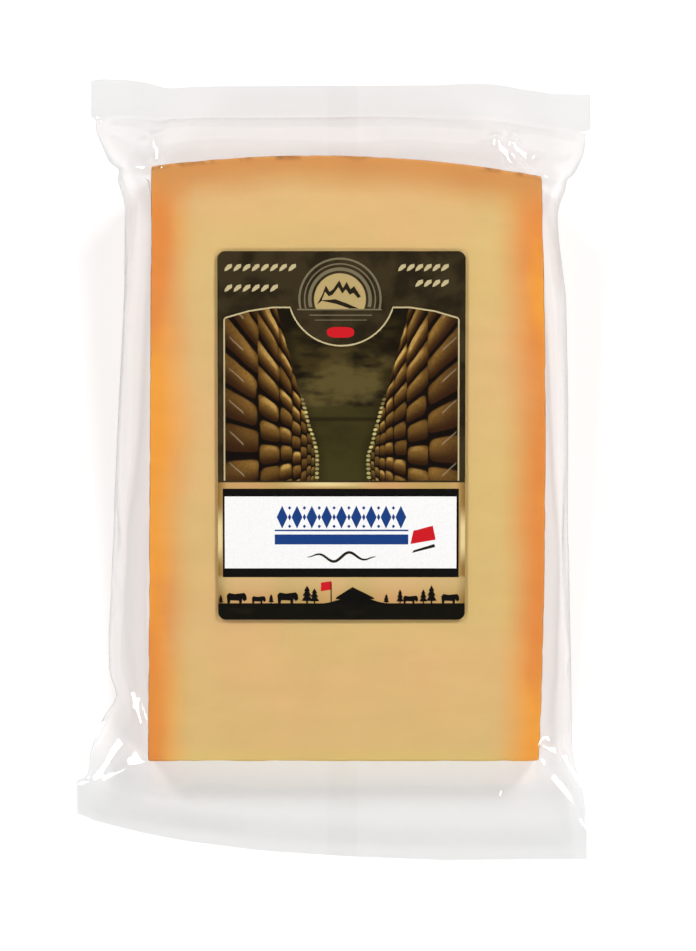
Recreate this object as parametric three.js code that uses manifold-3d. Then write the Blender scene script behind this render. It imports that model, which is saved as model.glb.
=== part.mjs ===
// A wedge of hard mountain cheese in a clear flow-wrap pack with one adhesive label on its front.
// Millimetres. The pack lies on its back: +X runs across the wheel's height, +Y points to the
// wheel's outer rim (the heel), and +Z is up, through the thickness of the wedge to the label side.
// The origin is the centre of the pack's box, on the surface that the pack lies on.
import * as THREE from "three";
import { mergeVertices } from "three/addons/utils/BufferGeometryUtils.js";
import Module from "manifold-3d";

const wasm = await Module();
wasm.setup();

// The wheel that the wedge was cut from.
const WHEEL_RADIUS = 300;
const HEEL_THICKNESS = 30; // across the wedge, at the wheel's outer rim
const TAPER = HEEL_THICKNESS / WHEEL_RADIUS; // thickness lost per millimetre towards the centre

// The cut face of the wedge, in plan.
const HEEL_PEAK = { x: -5, y: 84.2 }; // the rim's highest point
const HEEL_CROWN_RADIUS = 333; // the rim bulges a little across the wheel's height
const SIDE_LEFT = { top: -48.7, bottom: -50.3 };
const SIDE_RIGHT = { top: 55.8, bottom: 56.2, bow: 1.4 };
const CUT_END_Y = -79.2; // the straight cut nearest the wheel's centre
const RIM_CORNER = 3; // rounding where the wheel's flat faces meet its rim
const CUT_EDGE = 0.6; // rounding along the cut faces
const CUT_EDGE_STEPS = 2;
const RIM_CURVE_STEPS = 10;

// The film, drawn thicker than the real 0.09 mm so that it is a sound solid.
const FILM = 0.25;
const GAP = 0.3; // between neighbouring solids
const PACK_HALF_WIDTH = 70;
const PACK_HALF_LENGTH = 105.5;
const PANEL_MARGIN = 0.9; // how far the flat panels reach past the cheese
const FOLD_INSET = 0.6; // the cavity ends this far inside the side folds
const SEAM_X = -1.5; // the lengthwise seam in the back panel
const SEAM_GAP = 0.3;
const FIN_WIDTH = 8; // the seam's welded fin, folded flat against the back panel
const FIN_GROOVE_DEPTH = 0.12;
const SEAM_HALF_LENGTH = 72;
const SLOPE_REACH = 5; // half-way down a slope, its row stands this far past the cheese
const BEND_EASE = 4; // a bent row straightens over this distance beside the panels
const CUTTER_REACH = 1; // the cutting boxes start this far outside the face they cut

const LABEL_CORNER_STEPS = 5;
const LABEL = { x: 2.3, y: 9, width: 66.6, height: 99.6, corner: 2.1, thickness: 0.25 };

const wheelAxisY = HEEL_PEAK.y - WHEEL_RADIUS;
const thicknessAt = (y) => (y - wheelAxisY) * TAPER;
const cheeseBase = FILM + GAP;
const heelDrop = (x) => (x - HEEL_PEAK.x) ** 2 / (2 * HEEL_CROWN_RADIUS);
const heelY = (x) => HEEL_PEAK.y - heelDrop(x);

// The outer height of the film's front panel where it lies over the cheese.
const frontPanelZ = (y) => cheeseBase + thicknessAt(y) + GAP + FILM;

const MERGE_DISTANCE = 1e-4; // points nearer than this are one point of a solid

function toSolid(geometry) {
  const bare = geometry.clone();
  bare.deleteAttribute("normal");
  bare.deleteAttribute("uv");
  const merged = mergeVertices(bare, MERGE_DISTANCE);
  return new wasm.Manifold(
    new wasm.Mesh({
      numProp: 3,
      vertProperties: new Float32Array(merged.attributes.position.array),
      triVerts: new Uint32Array(merged.index.array),
    }),
  );
}

function toGeometry(solid) {
  const mesh = solid.getMesh();
  return new THREE.BufferGeometry()
    .setAttribute("position", new THREE.BufferAttribute(mesh.vertProperties, 3))
    .setIndex(new THREE.BufferAttribute(mesh.triVerts, 1));
}

function box(minimum, maximum) {
  const size = new THREE.Vector3().subVectors(maximum, minimum);
  const centre = new THREE.Vector3().addVectors(maximum, minimum).multiplyScalar(0.5);
  return new THREE.BoxGeometry(size.x, size.y, size.z).translate(centre.x, centre.y, centre.z);
}

function part(name, geometry, look) {
  const mesh = new THREE.Mesh(geometry, new THREE.MeshStandardMaterial(look));
  mesh.name = name;
  return mesh;
}

// The wedge's cut face: a straight cut end, two rind sides and the crowned heel.
function cutFaceShape() {
  const rightMiddle = (SIDE_RIGHT.top + SIDE_RIGHT.bottom) / 2 + 2 * SIDE_RIGHT.bow;
  const crownLeft = SIDE_LEFT.top + RIM_CORNER;
  const crownRight = SIDE_RIGHT.top - RIM_CORNER;
  // The tangents at the crown's two ends meet at this control point.
  const crownMiddle = (crownLeft + crownRight) / 2;
  const crownControlY =
    (heelY(crownLeft) + heelY(crownRight)) / 2 + (crownRight - crownLeft) ** 2 / (4 * HEEL_CROWN_RADIUS);
  const leftTop = heelY(SIDE_LEFT.top);
  const rightTop = heelY(SIDE_RIGHT.top);
  const shape = new THREE.Shape();
  shape.moveTo(SIDE_LEFT.bottom, CUT_END_Y);
  shape.lineTo(SIDE_RIGHT.bottom, CUT_END_Y);
  shape.quadraticCurveTo(rightMiddle, 0, SIDE_RIGHT.top, rightTop - RIM_CORNER);
  shape.quadraticCurveTo(SIDE_RIGHT.top, rightTop, crownRight, heelY(crownRight));
  shape.quadraticCurveTo(crownMiddle, crownControlY, crownLeft, heelY(crownLeft));
  shape.quadraticCurveTo(SIDE_LEFT.top, leftTop, SIDE_LEFT.top, leftTop - RIM_CORNER);
  return shape;
}

// Extrudes the cut face and tapers it, so that both cut faces are radial planes of the wheel.
function cheeseWedge() {
  const geometry = new THREE.ExtrudeGeometry(cutFaceShape(), {
    depth: HEEL_THICKNESS - 2 * CUT_EDGE,
    bevelEnabled: true,
    bevelSize: CUT_EDGE,
    bevelOffset: -CUT_EDGE,
    bevelThickness: CUT_EDGE,
    bevelSegments: CUT_EDGE_STEPS,
    curveSegments: RIM_CURVE_STEPS,
  }).translate(0, 0, CUT_EDGE);
  const position = geometry.attributes.position;
  for (let i = 0; i < position.count; i += 1) {
    const share = position.getZ(i) / HEEL_THICKNESS;
    position.setZ(i, cheeseBase + share * thicknessAt(position.getY(i)));
  }
  return part("cheese_wedge", toGeometry(toSolid(geometry)), {
    color: 0xdcb982,
    roughness: 0.55,
    metalness: 0,
  });
}

// The film's rows, from the cut end to the heel end. Each row has the plan position of its two side
// folds, how far the pack is open there (0 in a weld, 1 over the cheese), the height of a weld, and,
// where the row bends round an end of the cheese, its position between the folds.
const SEAL = { cutEdge: 5.5, cutInner: 7, heelInner: 15, heelEdge: 13 };
const END_BOW = 5; // the cut-end weld bows outwards
const cutSlope = () => CUT_END_Y - SLOPE_REACH;
const cutBrow = () => CUT_END_Y - PANEL_MARGIN;
const heelBrow = (x) => heelY(x) + PANEL_MARGIN;
const heelSlope = (x) => heelY(x) + SLOPE_REACH;
const rows = [
  { left: [-PACK_HALF_WIDTH, -92.7], right: [69.5, -104.6], bow: END_BOW, open: 0, weld: SEAL.cutEdge },
  { left: [-68, -82], right: [68.6, -93.6], bow: END_BOW, open: 0, weld: SEAL.cutInner },
  { left: [-64, -72.5], right: [66, -83], middle: cutSlope, open: 0.5, weld: SEAL.cutInner },
  { left: [-58.6, -62.5], right: [64.6, -73], middle: cutBrow, open: 1 },
  { left: [-61.8, -53], right: [65.1, -60], open: 1 },
  { left: [-60.4, -25], right: [64.8, -25], open: 1 },
  { left: [-58.4, 10], right: [64.2, 10], open: 1 },
  { left: [-57.2, 42], right: [63.6, 42], open: 1 },
  { left: [-56.3, 66], right: [60.8, 62], open: 1 },
  { left: [-57.4, 75.5], right: [60.6, 71], middle: heelBrow, open: 1 },
  { left: [-61.2, 85], right: [64, 79], middle: heelSlope, open: 0.5, weld: SEAL.heelInner },
  { left: [-65.1, 94.4], right: [69.4, 90.5], open: 0, weld: SEAL.heelInner },
  { left: [-65.5, PACK_HALF_LENGTH], right: [PACK_HALF_WIDTH, 101], open: 0, weld: SEAL.heelEdge },
];
const INNER_COLUMNS = 6; // spans across the flat panels
const SIDE_COLUMNS = 2; // spans down each side, from a panel to its fold

const panelLeft = SIDE_LEFT.bottom - PANEL_MARGIN;
const panelRight = SIDE_RIGHT.bottom + SIDE_RIGHT.bow + PANEL_MARGIN;

// Where column c of a row stands across the pack, and how far the pack is open there.
function acrossAt(row, c, inset) {
  const left = row.left[0] + inset;
  const right = row.right[0] - inset;
  const last = INNER_COLUMNS + 2 * SIDE_COLUMNS;
  if (c < SIDE_COLUMNS) {
    const share = c / SIDE_COLUMNS;
    return { x: THREE.MathUtils.lerp(left, panelLeft, share), open: share };
  }
  if (c > last - SIDE_COLUMNS) {
    const share = (last - c) / SIDE_COLUMNS;
    return { x: THREE.MathUtils.lerp(right, panelRight, share), open: share };
  }
  const share = (c - SIDE_COLUMNS) / INNER_COLUMNS;
  return { x: THREE.MathUtils.lerp(panelLeft, panelRight, share), open: 1 };
}

// Where a row stands along the pack at x.
function alongAt(row, x) {
  const share = (x - row.left[0]) / (row.right[0] - row.left[0]);
  const straight = THREE.MathUtils.lerp(row.left[1], row.right[1], share);
  if (row.middle === undefined) return straight - (row.bow ?? 0) * 4 * share * (1 - share);
  const inside = Math.min(x - panelLeft, panelRight - x);
  return THREE.MathUtils.lerp(straight, row.middle(x), THREE.MathUtils.smoothstep(inside, -BEND_EASE, 0));
}

// A closed pillow over some of the rows. Its two skins stand apart by twice the rim at its outline.
function pillow(firstRow, lastRow, inset, rim) {
  const last = INNER_COLUMNS + 2 * SIDE_COLUMNS;
  const width = last + 1;
  const count = lastRow - firstRow + 1;
  const skins = { front: [], back: [] };
  for (let r = 0; r < count; r += 1) {
    const row = rows[firstRow + r];
    for (let c = 0; c < width; c += 1) {
      const across = acrossAt(row, c, inset);
      const y = alongAt(row, across.x);
      const open = Math.min(across.open, row.open);
      const front = frontPanelZ(y) - FILM + rim;
      const back = FILM - rim;
      const fold = row.weld ?? frontPanelZ(y) / 2;
      const top = THREE.MathUtils.lerp(fold + rim, front, open);
      const bottom = THREE.MathUtils.lerp(fold - rim, back, open);
      skins.front.push(new THREE.Vector3(across.x, y, top));
      skins.back.push(new THREE.Vector3(across.x, y, bottom));
    }
  }
  const triangles = [];
  const corner = (skin, r, c) => skins[skin][r * width + c];
  const face = (a, b, c, outward) => triangles.push(...(outward ? [a, b, c] : [a, c, b]));
  for (let r = 0; r + 1 < count; r += 1) {
    for (let c = 0; c < last; c += 1) {
      // The diagonal follows the hip that runs from each corner of the cheese to its side fold.
      const rising = c < width / 2 === r < count / 2;
      for (const skin of ["front", "back"]) {
        const up = skin === "front";
        const nearLeft = corner(skin, r, c);
        const nearRight = corner(skin, r, c + 1);
        const farRight = corner(skin, r + 1, c + 1);
        const farLeft = corner(skin, r + 1, c);
        if (rising) {
          face(nearLeft, nearRight, farRight, up);
          face(nearLeft, farRight, farLeft, up);
        } else {
          face(nearLeft, nearRight, farLeft, up);
          face(nearRight, farRight, farLeft, up);
        }
      }
    }
  }
  const wall = (r0, c0, r1, c1) => {
    if (rim === 0) return;
    face(corner("back", r0, c0), corner("back", r1, c1), corner("front", r1, c1), true);
    face(corner("back", r0, c0), corner("front", r1, c1), corner("front", r0, c0), true);
  };
  for (let c = 0; c < last; c += 1) {
    wall(0, c, 0, c + 1);
    wall(count - 1, c + 1, count - 1, c);
  }
  for (let r = 0; r + 1 < count; r += 1) {
    wall(r, last, r + 1, last);
    wall(r + 1, 0, r, 0);
  }
  const geometry = new THREE.BufferGeometry().setFromPoints(triangles);
  return toSolid(geometry);
}

// One web of film: two flat panels, folded sides, a welded band at each end, and the lengthwise
// seam in the back, which is left open by a hair so that the pocket is not a sealed void.
function filmWrapper() {
  const outside = pillow(0, rows.length - 1, 0, FILM);
  const pocket = pillow(1, rows.length - 2, FOLD_INSET, 0);
  const seam = box(
    new THREE.Vector3(SEAM_X - SEAM_GAP / 2, -SEAM_HALF_LENGTH, -CUTTER_REACH),
    new THREE.Vector3(SEAM_X + SEAM_GAP / 2, SEAM_HALF_LENGTH, cheeseBase - GAP / 2),
  );
  const finEdge = SEAM_X + FIN_WIDTH;
  const groove = box(
    new THREE.Vector3(finEdge - SEAM_GAP / 2, -SEAM_HALF_LENGTH, -CUTTER_REACH),
    new THREE.Vector3(finEdge + SEAM_GAP / 2, SEAM_HALF_LENGTH, FIN_GROOVE_DEPTH),
  );
  const film = outside.subtract(pocket).subtract(toSolid(seam)).subtract(toSolid(groove));
  return part("film_wrapper", toGeometry(film), {
    color: 0xf2f2f0,
    roughness: 0.1,
    metalness: 0,
    transparent: true,
    opacity: 0.3,
  });
}

function roundedRectangle(width, height, radius) {
  const [x, y] = [width / 2, height / 2];
  const shape = new THREE.Shape();
  shape.absarc(x - radius, y - radius, radius, 0, Math.PI / 2, false);
  shape.absarc(-x + radius, y - radius, radius, Math.PI / 2, Math.PI, false);
  shape.absarc(-x + radius, -y + radius, radius, Math.PI, 1.5 * Math.PI, false);
  shape.absarc(x - radius, -y + radius, radius, 1.5 * Math.PI, 2 * Math.PI, false);
  return shape;
}

// The adhesive label, flat on the film over the tilted front face of the wedge.
function frontLabel() {
  const geometry = new THREE.ExtrudeGeometry(roundedRectangle(LABEL.width, LABEL.height, LABEL.corner), {
    depth: LABEL.thickness,
    bevelEnabled: false,
    curveSegments: LABEL_CORNER_STEPS,
  });
  const label = part("front_label", geometry, { color: 0x2c2618, roughness: 0.35, metalness: 0 });
  label.rotation.x = Math.atan(TAPER);
  label.position.set(LABEL.x, LABEL.y, frontPanelZ(LABEL.y) + GAP);
  return label;
}

const pack = new THREE.Group();
pack.add(cheeseWedge(), filmWrapper(), frontLabel());

export default pack;
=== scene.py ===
"""A wedge of hard mountain cheese, sealed in a clear flow-wrap pack with a picture label.

The pack lies on its back. +X runs across the height of the wheel that the wedge was cut from, +Y
points to the heel, which was the wheel's rim, and +Z is up, to the label. Lengths are in metres.
"""

import logging
import math
from collections.abc import Iterator, Sequence
from contextlib import contextmanager
from dataclasses import dataclass
from enum import Enum

import bpy
import numpy as np
from mathutils import Matrix, Vector, noise


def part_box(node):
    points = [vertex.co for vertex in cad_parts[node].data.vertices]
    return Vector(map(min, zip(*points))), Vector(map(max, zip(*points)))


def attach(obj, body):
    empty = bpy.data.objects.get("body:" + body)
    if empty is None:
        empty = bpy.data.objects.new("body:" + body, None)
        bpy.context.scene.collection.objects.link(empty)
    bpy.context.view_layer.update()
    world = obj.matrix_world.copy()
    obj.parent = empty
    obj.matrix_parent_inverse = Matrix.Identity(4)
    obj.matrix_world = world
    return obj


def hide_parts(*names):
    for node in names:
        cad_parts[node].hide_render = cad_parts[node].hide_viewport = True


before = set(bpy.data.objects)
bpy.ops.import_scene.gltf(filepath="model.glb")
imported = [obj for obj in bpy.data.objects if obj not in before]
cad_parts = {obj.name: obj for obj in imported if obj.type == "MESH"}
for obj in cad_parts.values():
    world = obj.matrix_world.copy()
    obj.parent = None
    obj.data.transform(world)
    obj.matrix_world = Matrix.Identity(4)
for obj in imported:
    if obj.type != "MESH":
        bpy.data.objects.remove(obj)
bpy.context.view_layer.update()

MM = 0.001
LOG = logging.getLogger("cheese_pack")

Colour = tuple[float, float, float]
Pair = tuple[float, float]
Point = tuple[float, float]
Box = tuple[Point, Point]
Outline = tuple[Point, ...]


def srgb(red: int, green: int, blue: int) -> Colour:
    """Returns the linear colour of an 8-bit display colour."""
    channels = (red / 255, green / 255, blue / 255)
    return tuple(c / 12.92 if c <= 0.04045 else ((c + 0.055) / 1.055) ** 2.4 for c in channels)


# ---------------------------------------------------------------------------------------------
# Modelling tools
# ---------------------------------------------------------------------------------------------


def deselect_all() -> None:
    """Leaves object mode with nothing selected."""
    if bpy.context.object and bpy.context.object.mode != "OBJECT":
        bpy.ops.object.mode_set(mode="OBJECT")
    bpy.ops.object.select_all(action="DESELECT")


def pick(piece: bpy.types.Object) -> None:
    """Selects one object alone and makes it active.

    Args:
        piece: The object.
    """
    deselect_all()
    piece.select_set(True)
    bpy.context.view_layer.objects.active = piece


@contextmanager
def edit_mode(piece: bpy.types.Object, select: str = "FACE") -> Iterator[None]:
    """Opens one object in edit mode and returns to object mode at the end.

    Args:
        piece: The object to edit.
        select: The kind of element that the selection works on.
    """
    pick(piece)
    bpy.ops.object.mode_set(mode="EDIT")
    bpy.ops.mesh.select_mode(type=select)
    yield
    bpy.ops.object.mode_set(mode="OBJECT")


def apply_modifiers(piece: bpy.types.Object) -> None:
    """Applies every modifier of an object, in order.

    Args:
        piece: The object.
    """
    pick(piece)
    for modifier in list(piece.modifiers):
        bpy.ops.object.modifier_apply(modifier=modifier.name)


def points_of(mesh: bpy.types.Mesh) -> np.ndarray:
    """Returns a mesh's vertex positions.

    Args:
        mesh: The mesh.

    Returns:
        One row of X, Y and Z for each vertex.
    """
    points = np.empty(len(mesh.vertices) * 3)
    mesh.vertices.foreach_get("co", points)
    return points.reshape(-1, 3)


def normals_of(mesh: bpy.types.Mesh) -> np.ndarray:
    """Returns a mesh's vertex normals.

    Args:
        mesh: The mesh.

    Returns:
        One row of X, Y and Z for each vertex.
    """
    normals = np.empty(len(mesh.vertices) * 3)
    mesh.vertices.foreach_get("normal", normals)
    return normals.reshape(-1, 3)


def set_points(mesh: bpy.types.Mesh, points: np.ndarray) -> None:
    """Moves a mesh's vertices to new positions."""
    mesh.vertices.foreach_set("co", np.ascontiguousarray(points).ravel())
    mesh.update()


def smooth(piece: bpy.types.Object, degrees: float = 35) -> None:
    """Shades an object smooth, apart from its edges sharper than an angle."""
    pick(piece)
    bpy.ops.object.shade_smooth_by_angle(angle=math.radians(degrees))


def settle(piece: bpy.types.Object, name: str) -> None:
    """Names an object and moves its place into its mesh.

    Args:
        piece: The object.
        name: Its new name, which its mesh takes too.
    """
    piece.name = name
    piece.data.name = name
    pick(piece)
    bpy.ops.object.transform_apply(location=True, rotation=True, scale=True)


def noise_at(points: np.ndarray, scale: float, seed: float) -> np.ndarray:
    """Returns smooth noise from -1 to 1 at rows of points, with features of a size in metres."""
    return np.array([noise.noise(Vector(p) / scale + Vector((seed, seed, seed))) for p in points])


def read_outline(outline: Outline, at: np.ndarray) -> np.ndarray:
    """Returns, in metres, the height at places along an outline whose points are in millimetres."""
    places, heights = np.array(outline).T * MM
    return np.interp(at, places, heights)


# ---------------------------------------------------------------------------------------------
# Materials
# ---------------------------------------------------------------------------------------------


class Signal:
    """A shader value that plain arithmetic works on."""

    def __init__(self, recipe: "Recipe", socket: bpy.types.NodeSocket) -> None:
        """Wraps an output socket of a recipe's node."""
        self.recipe = recipe
        self.socket = socket

    def __add__(self, other: "Value") -> "Signal":
        """Returns the sum."""
        return self.recipe.math("ADD", self, other)

    __radd__ = __add__

    def __mul__(self, other: "Value") -> "Signal":
        """Returns the product."""
        return self.recipe.math("MULTIPLY", self, other)

    __rmul__ = __mul__

    def __sub__(self, other: "Value") -> "Signal":
        """Returns the difference."""
        return self.recipe.math("SUBTRACT", self, other)

    def __rsub__(self, other: "Value") -> "Signal":
        """Returns the difference from a number."""
        return self.recipe.math("SUBTRACT", other, self)

    def __truediv__(self, other: "Value") -> "Signal":
        """Returns the quotient."""
        return self.recipe.math("DIVIDE", self, other)

    def __rtruediv__(self, other: "Value") -> "Signal":
        """Returns a number over this value."""
        return self.recipe.math("DIVIDE", other, self)

    def __abs__(self) -> "Signal":
        """Returns the value without its sign."""
        return self.recipe.math("ABSOLUTE", self)

    def power(self, exponent: float) -> "Signal":
        """Returns the value's size raised to a power."""
        return self.recipe.math("POWER", abs(self), exponent)

    def least(self, other: "Value") -> "Signal":
        """Returns the smaller of two values."""
        return self.recipe.math("MINIMUM", self, other)

    def most(self, other: "Value") -> "Signal":
        """Returns the larger of two values."""
        return self.recipe.math("MAXIMUM", self, other)

    def whole(self) -> "Signal":
        """Returns the value rounded down."""
        return self.recipe.math("FLOOR", self)

    def part(self) -> "Signal":
        """Returns what is left over a whole number."""
        return self.recipe.math("FRACT", self)

    def rise(self, low: float, high: float) -> "Signal":
        """Returns a smooth rise from 0 where the value is low to 1 where it is high.

        Args:
            low: The value that gives 0, which may be the larger of the two.
            high: The value that gives 1.

        Returns:
            The share from 0 to 1.
        """
        node = self.recipe.add("ShaderNodeMapRange", interpolation_type="SMOOTHSTEP")
        self.recipe.feed(node.inputs["Value"], self)
        if low < high:
            self.recipe.feed(node.inputs["From Min"], low)
            self.recipe.feed(node.inputs["From Max"], high)
        else:
            self.recipe.feed(node.inputs["From Min"], high)
            self.recipe.feed(node.inputs["From Max"], low)
            self.recipe.feed(node.inputs["To Min"], 1.0)
            self.recipe.feed(node.inputs["To Max"], 0.0)
        return Signal(self.recipe, node.outputs["Result"])


Value = Signal | float | int


class Recipe:
    """One material, built node by node."""

    seed_shift = (1.0, 1.7, 0.6)

    def __init__(self, name: str) -> None:
        """Starts an empty material with its output and the object's coordinates.

        Args:
            name: The material's name.
        """
        self.material = bpy.data.materials.new(name)
        self.material.use_nodes = True
        self.nodes = self.material.node_tree.nodes
        self.links = self.material.node_tree.links
        self.nodes.clear()
        self.output = self.nodes.new("ShaderNodeOutputMaterial")
        self.place = self.add("ShaderNodeTexCoord").outputs["Object"]
        axes = self.add("ShaderNodeSeparateXYZ")
        self.feed(axes.inputs[0], self.place)
        self.x, self.y, self.z = (Signal(self, socket) for socket in axes.outputs)

    def add(self, kind: str, **settings: object) -> bpy.types.Node:
        """Adds a node.

        Args:
            kind: The node's type.
            **settings: Its properties, by name.

        Returns:
            The node.
        """
        node = self.nodes.new(kind)
        for key, value in settings.items():
            setattr(node, key, value)
        return node

    def feed(self, socket: bpy.types.NodeSocket, value: object) -> None:
        """Links a socket to another node's output, or sets its plain value.

        Args:
            socket: The input socket.
            value: A signal, an output socket, a number, a colour or a vector.
        """
        if isinstance(value, Signal):
            self.links.new(value.socket, socket)
        elif isinstance(value, bpy.types.NodeSocket):
            self.links.new(value, socket)
        elif isinstance(value, tuple) and len(value) == 3 and socket.type == "RGBA":
            socket.default_value = (*value, 1)
        else:
            socket.default_value = value

    def math(self, operation: str, *values: Value) -> Signal:
        """Returns the result of a Math node.

        Args:
            operation: The node's operation.
            *values: What it works on.

        Returns:
            The result.
        """
        node = self.add("ShaderNodeMath", operation=operation)
        for socket, value in zip(node.inputs, values):
            self.feed(socket, value)
        return Signal(self, node.outputs[0])

    def mix(self, factor: Value, first: object, second: object, blend: str = "MIX") -> Signal:
        """Returns a blend of two colours.

        Args:
            factor: The share of the second colour.
            first: The colour at factor 0.
            second: The colour at factor 1.
            blend: The kind of blend.

        Returns:
            The blended colour.
        """
        node = self.add("ShaderNodeMix", data_type="RGBA", blend_type=blend)
        factor_socket, first_socket, second_socket = node.inputs[0], node.inputs[6], node.inputs[7]
        self.feed(factor_socket, factor)
        self.feed(first_socket, first)
        self.feed(second_socket, second)
        return Signal(self, node.outputs[2])

    def grain(
        self,
        size: float,
        detail: float = 2,
        stretch: tuple[float, float, float] = (1, 1, 1),
        seed: float = 0,
    ) -> Signal:
        """Returns noise from 0 to 1 with features of a size in metres.

        Args:
            size: The features' size in metres.
            detail: How many finer layers the noise has.
            stretch: How many times longer the features are along each axis.
            seed: A shift that makes each use different.

        Returns:
            The noise.
        """
        mapping = self.add("ShaderNodeMapping")
        mapping.inputs["Scale"].default_value = tuple(1 / s for s in stretch)
        mapping.inputs["Location"].default_value = tuple(seed * shift for shift in self.seed_shift)
        self.feed(mapping.inputs["Vector"], self.place)
        node = self.add("ShaderNodeTexNoise")
        node.inputs["Scale"].default_value = 1 / size
        node.inputs["Detail"].default_value = detail
        self.feed(node.inputs["Vector"], mapping.outputs[0])
        return Signal(self, node.outputs["Fac"])

    def chance(self, column: Signal, row: Signal) -> Signal:
        """Returns a fixed random number for each cell of a grid.

        Args:
            column: The cell's whole column number.
            row: The cell's whole row number.

        Returns:
            The number, from 0 to 1.
        """
        node = self.add("ShaderNodeTexWhiteNoise", noise_dimensions="2D")
        pair = self.add("ShaderNodeCombineXYZ")
        self.feed(pair.inputs[0], column)
        self.feed(pair.inputs[1], row)
        self.feed(node.inputs["Vector"], pair.outputs[0])
        return Signal(self, node.outputs["Value"])

    def bump(self, height: Signal, depth: float, strength: float = 1) -> Signal:
        """Returns a bumped normal.

        Args:
            height: The relief, from 0 to 1.
            depth: How high the relief stands, in metres.
            strength: How much of the bump shows.

        Returns:
            The normal.
        """
        node = self.add("ShaderNodeBump")
        node.inputs["Distance"].default_value = depth
        node.inputs["Strength"].default_value = strength
        self.feed(node.inputs["Height"], height)
        return Signal(self, node.outputs[0])

    def surface(self, **inputs: object) -> bpy.types.Material:
        """Ends the material in one Principled shader.

        Args:
            **inputs: The shader's inputs by name, with _ for each space.

        Returns:
            The finished material.
        """
        node = self.add("ShaderNodeBsdfPrincipled")
        for key, value in inputs.items():
            self.feed(node.inputs[key.replace("_", " ")], value)
        self.links.new(node.outputs[0], self.output.inputs["Surface"])
        return self.material


@dataclass(frozen=True)
class WedgeShape:
    """The wedge's outline and taper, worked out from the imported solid's box."""

    low: Vector
    high: Vector
    wheel_radius: float = 300 * MM
    crown_radius: float = 333 * MM
    crown_x: float = -5 * MM
    left_lean: float = 1.6 * MM
    right_bow: float = 1.4 * MM

    @property
    def taper(self) -> float:
        """Thickness gained per metre towards the heel."""
        return (self.high.z - self.low.z) / self.wheel_radius

    @property
    def tilt(self) -> float:
        """The front face's slope, in radians."""
        return math.atan(self.taper)

    def thickness(self, y: float | np.ndarray) -> float | np.ndarray:
        """Returns the wedge's thickness at a place along it."""
        return (y - self.high.y + self.wheel_radius) * self.taper

    def front(self, y: float | np.ndarray) -> float | np.ndarray:
        """Returns the height of the front face at a place along the wedge."""
        return self.low.z + self.thickness(y)

    def left(self, y: float | np.ndarray) -> float | np.ndarray:
        """Returns the left rind's X at a place along the wedge."""
        return self.low.x + self.left_lean * (y - self.low.y) / (self.high.y - self.low.y)

    def right(self, y: float | np.ndarray) -> float | np.ndarray:
        """Returns the right rind's X, which bows out, at a place along the wedge."""
        along = 2 * (y - self.low.y) / (self.high.y - self.low.y) - 1
        return self.high.x - self.right_bow * along**2

    def heel(self, x: float | np.ndarray) -> float | np.ndarray:
        """Returns the crowned heel's Y at a place across the wedge."""
        return self.high.y - (x - self.crown_x) ** 2 / (2 * self.crown_radius)


# ---------------------------------------------------------------------------------------------
# The studio
# ---------------------------------------------------------------------------------------------


@dataclass(frozen=True)
class Lamp:
    """A square soft light that faces the pack."""

    name: str
    place: tuple[float, float, float]
    side: float
    watts: float


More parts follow.
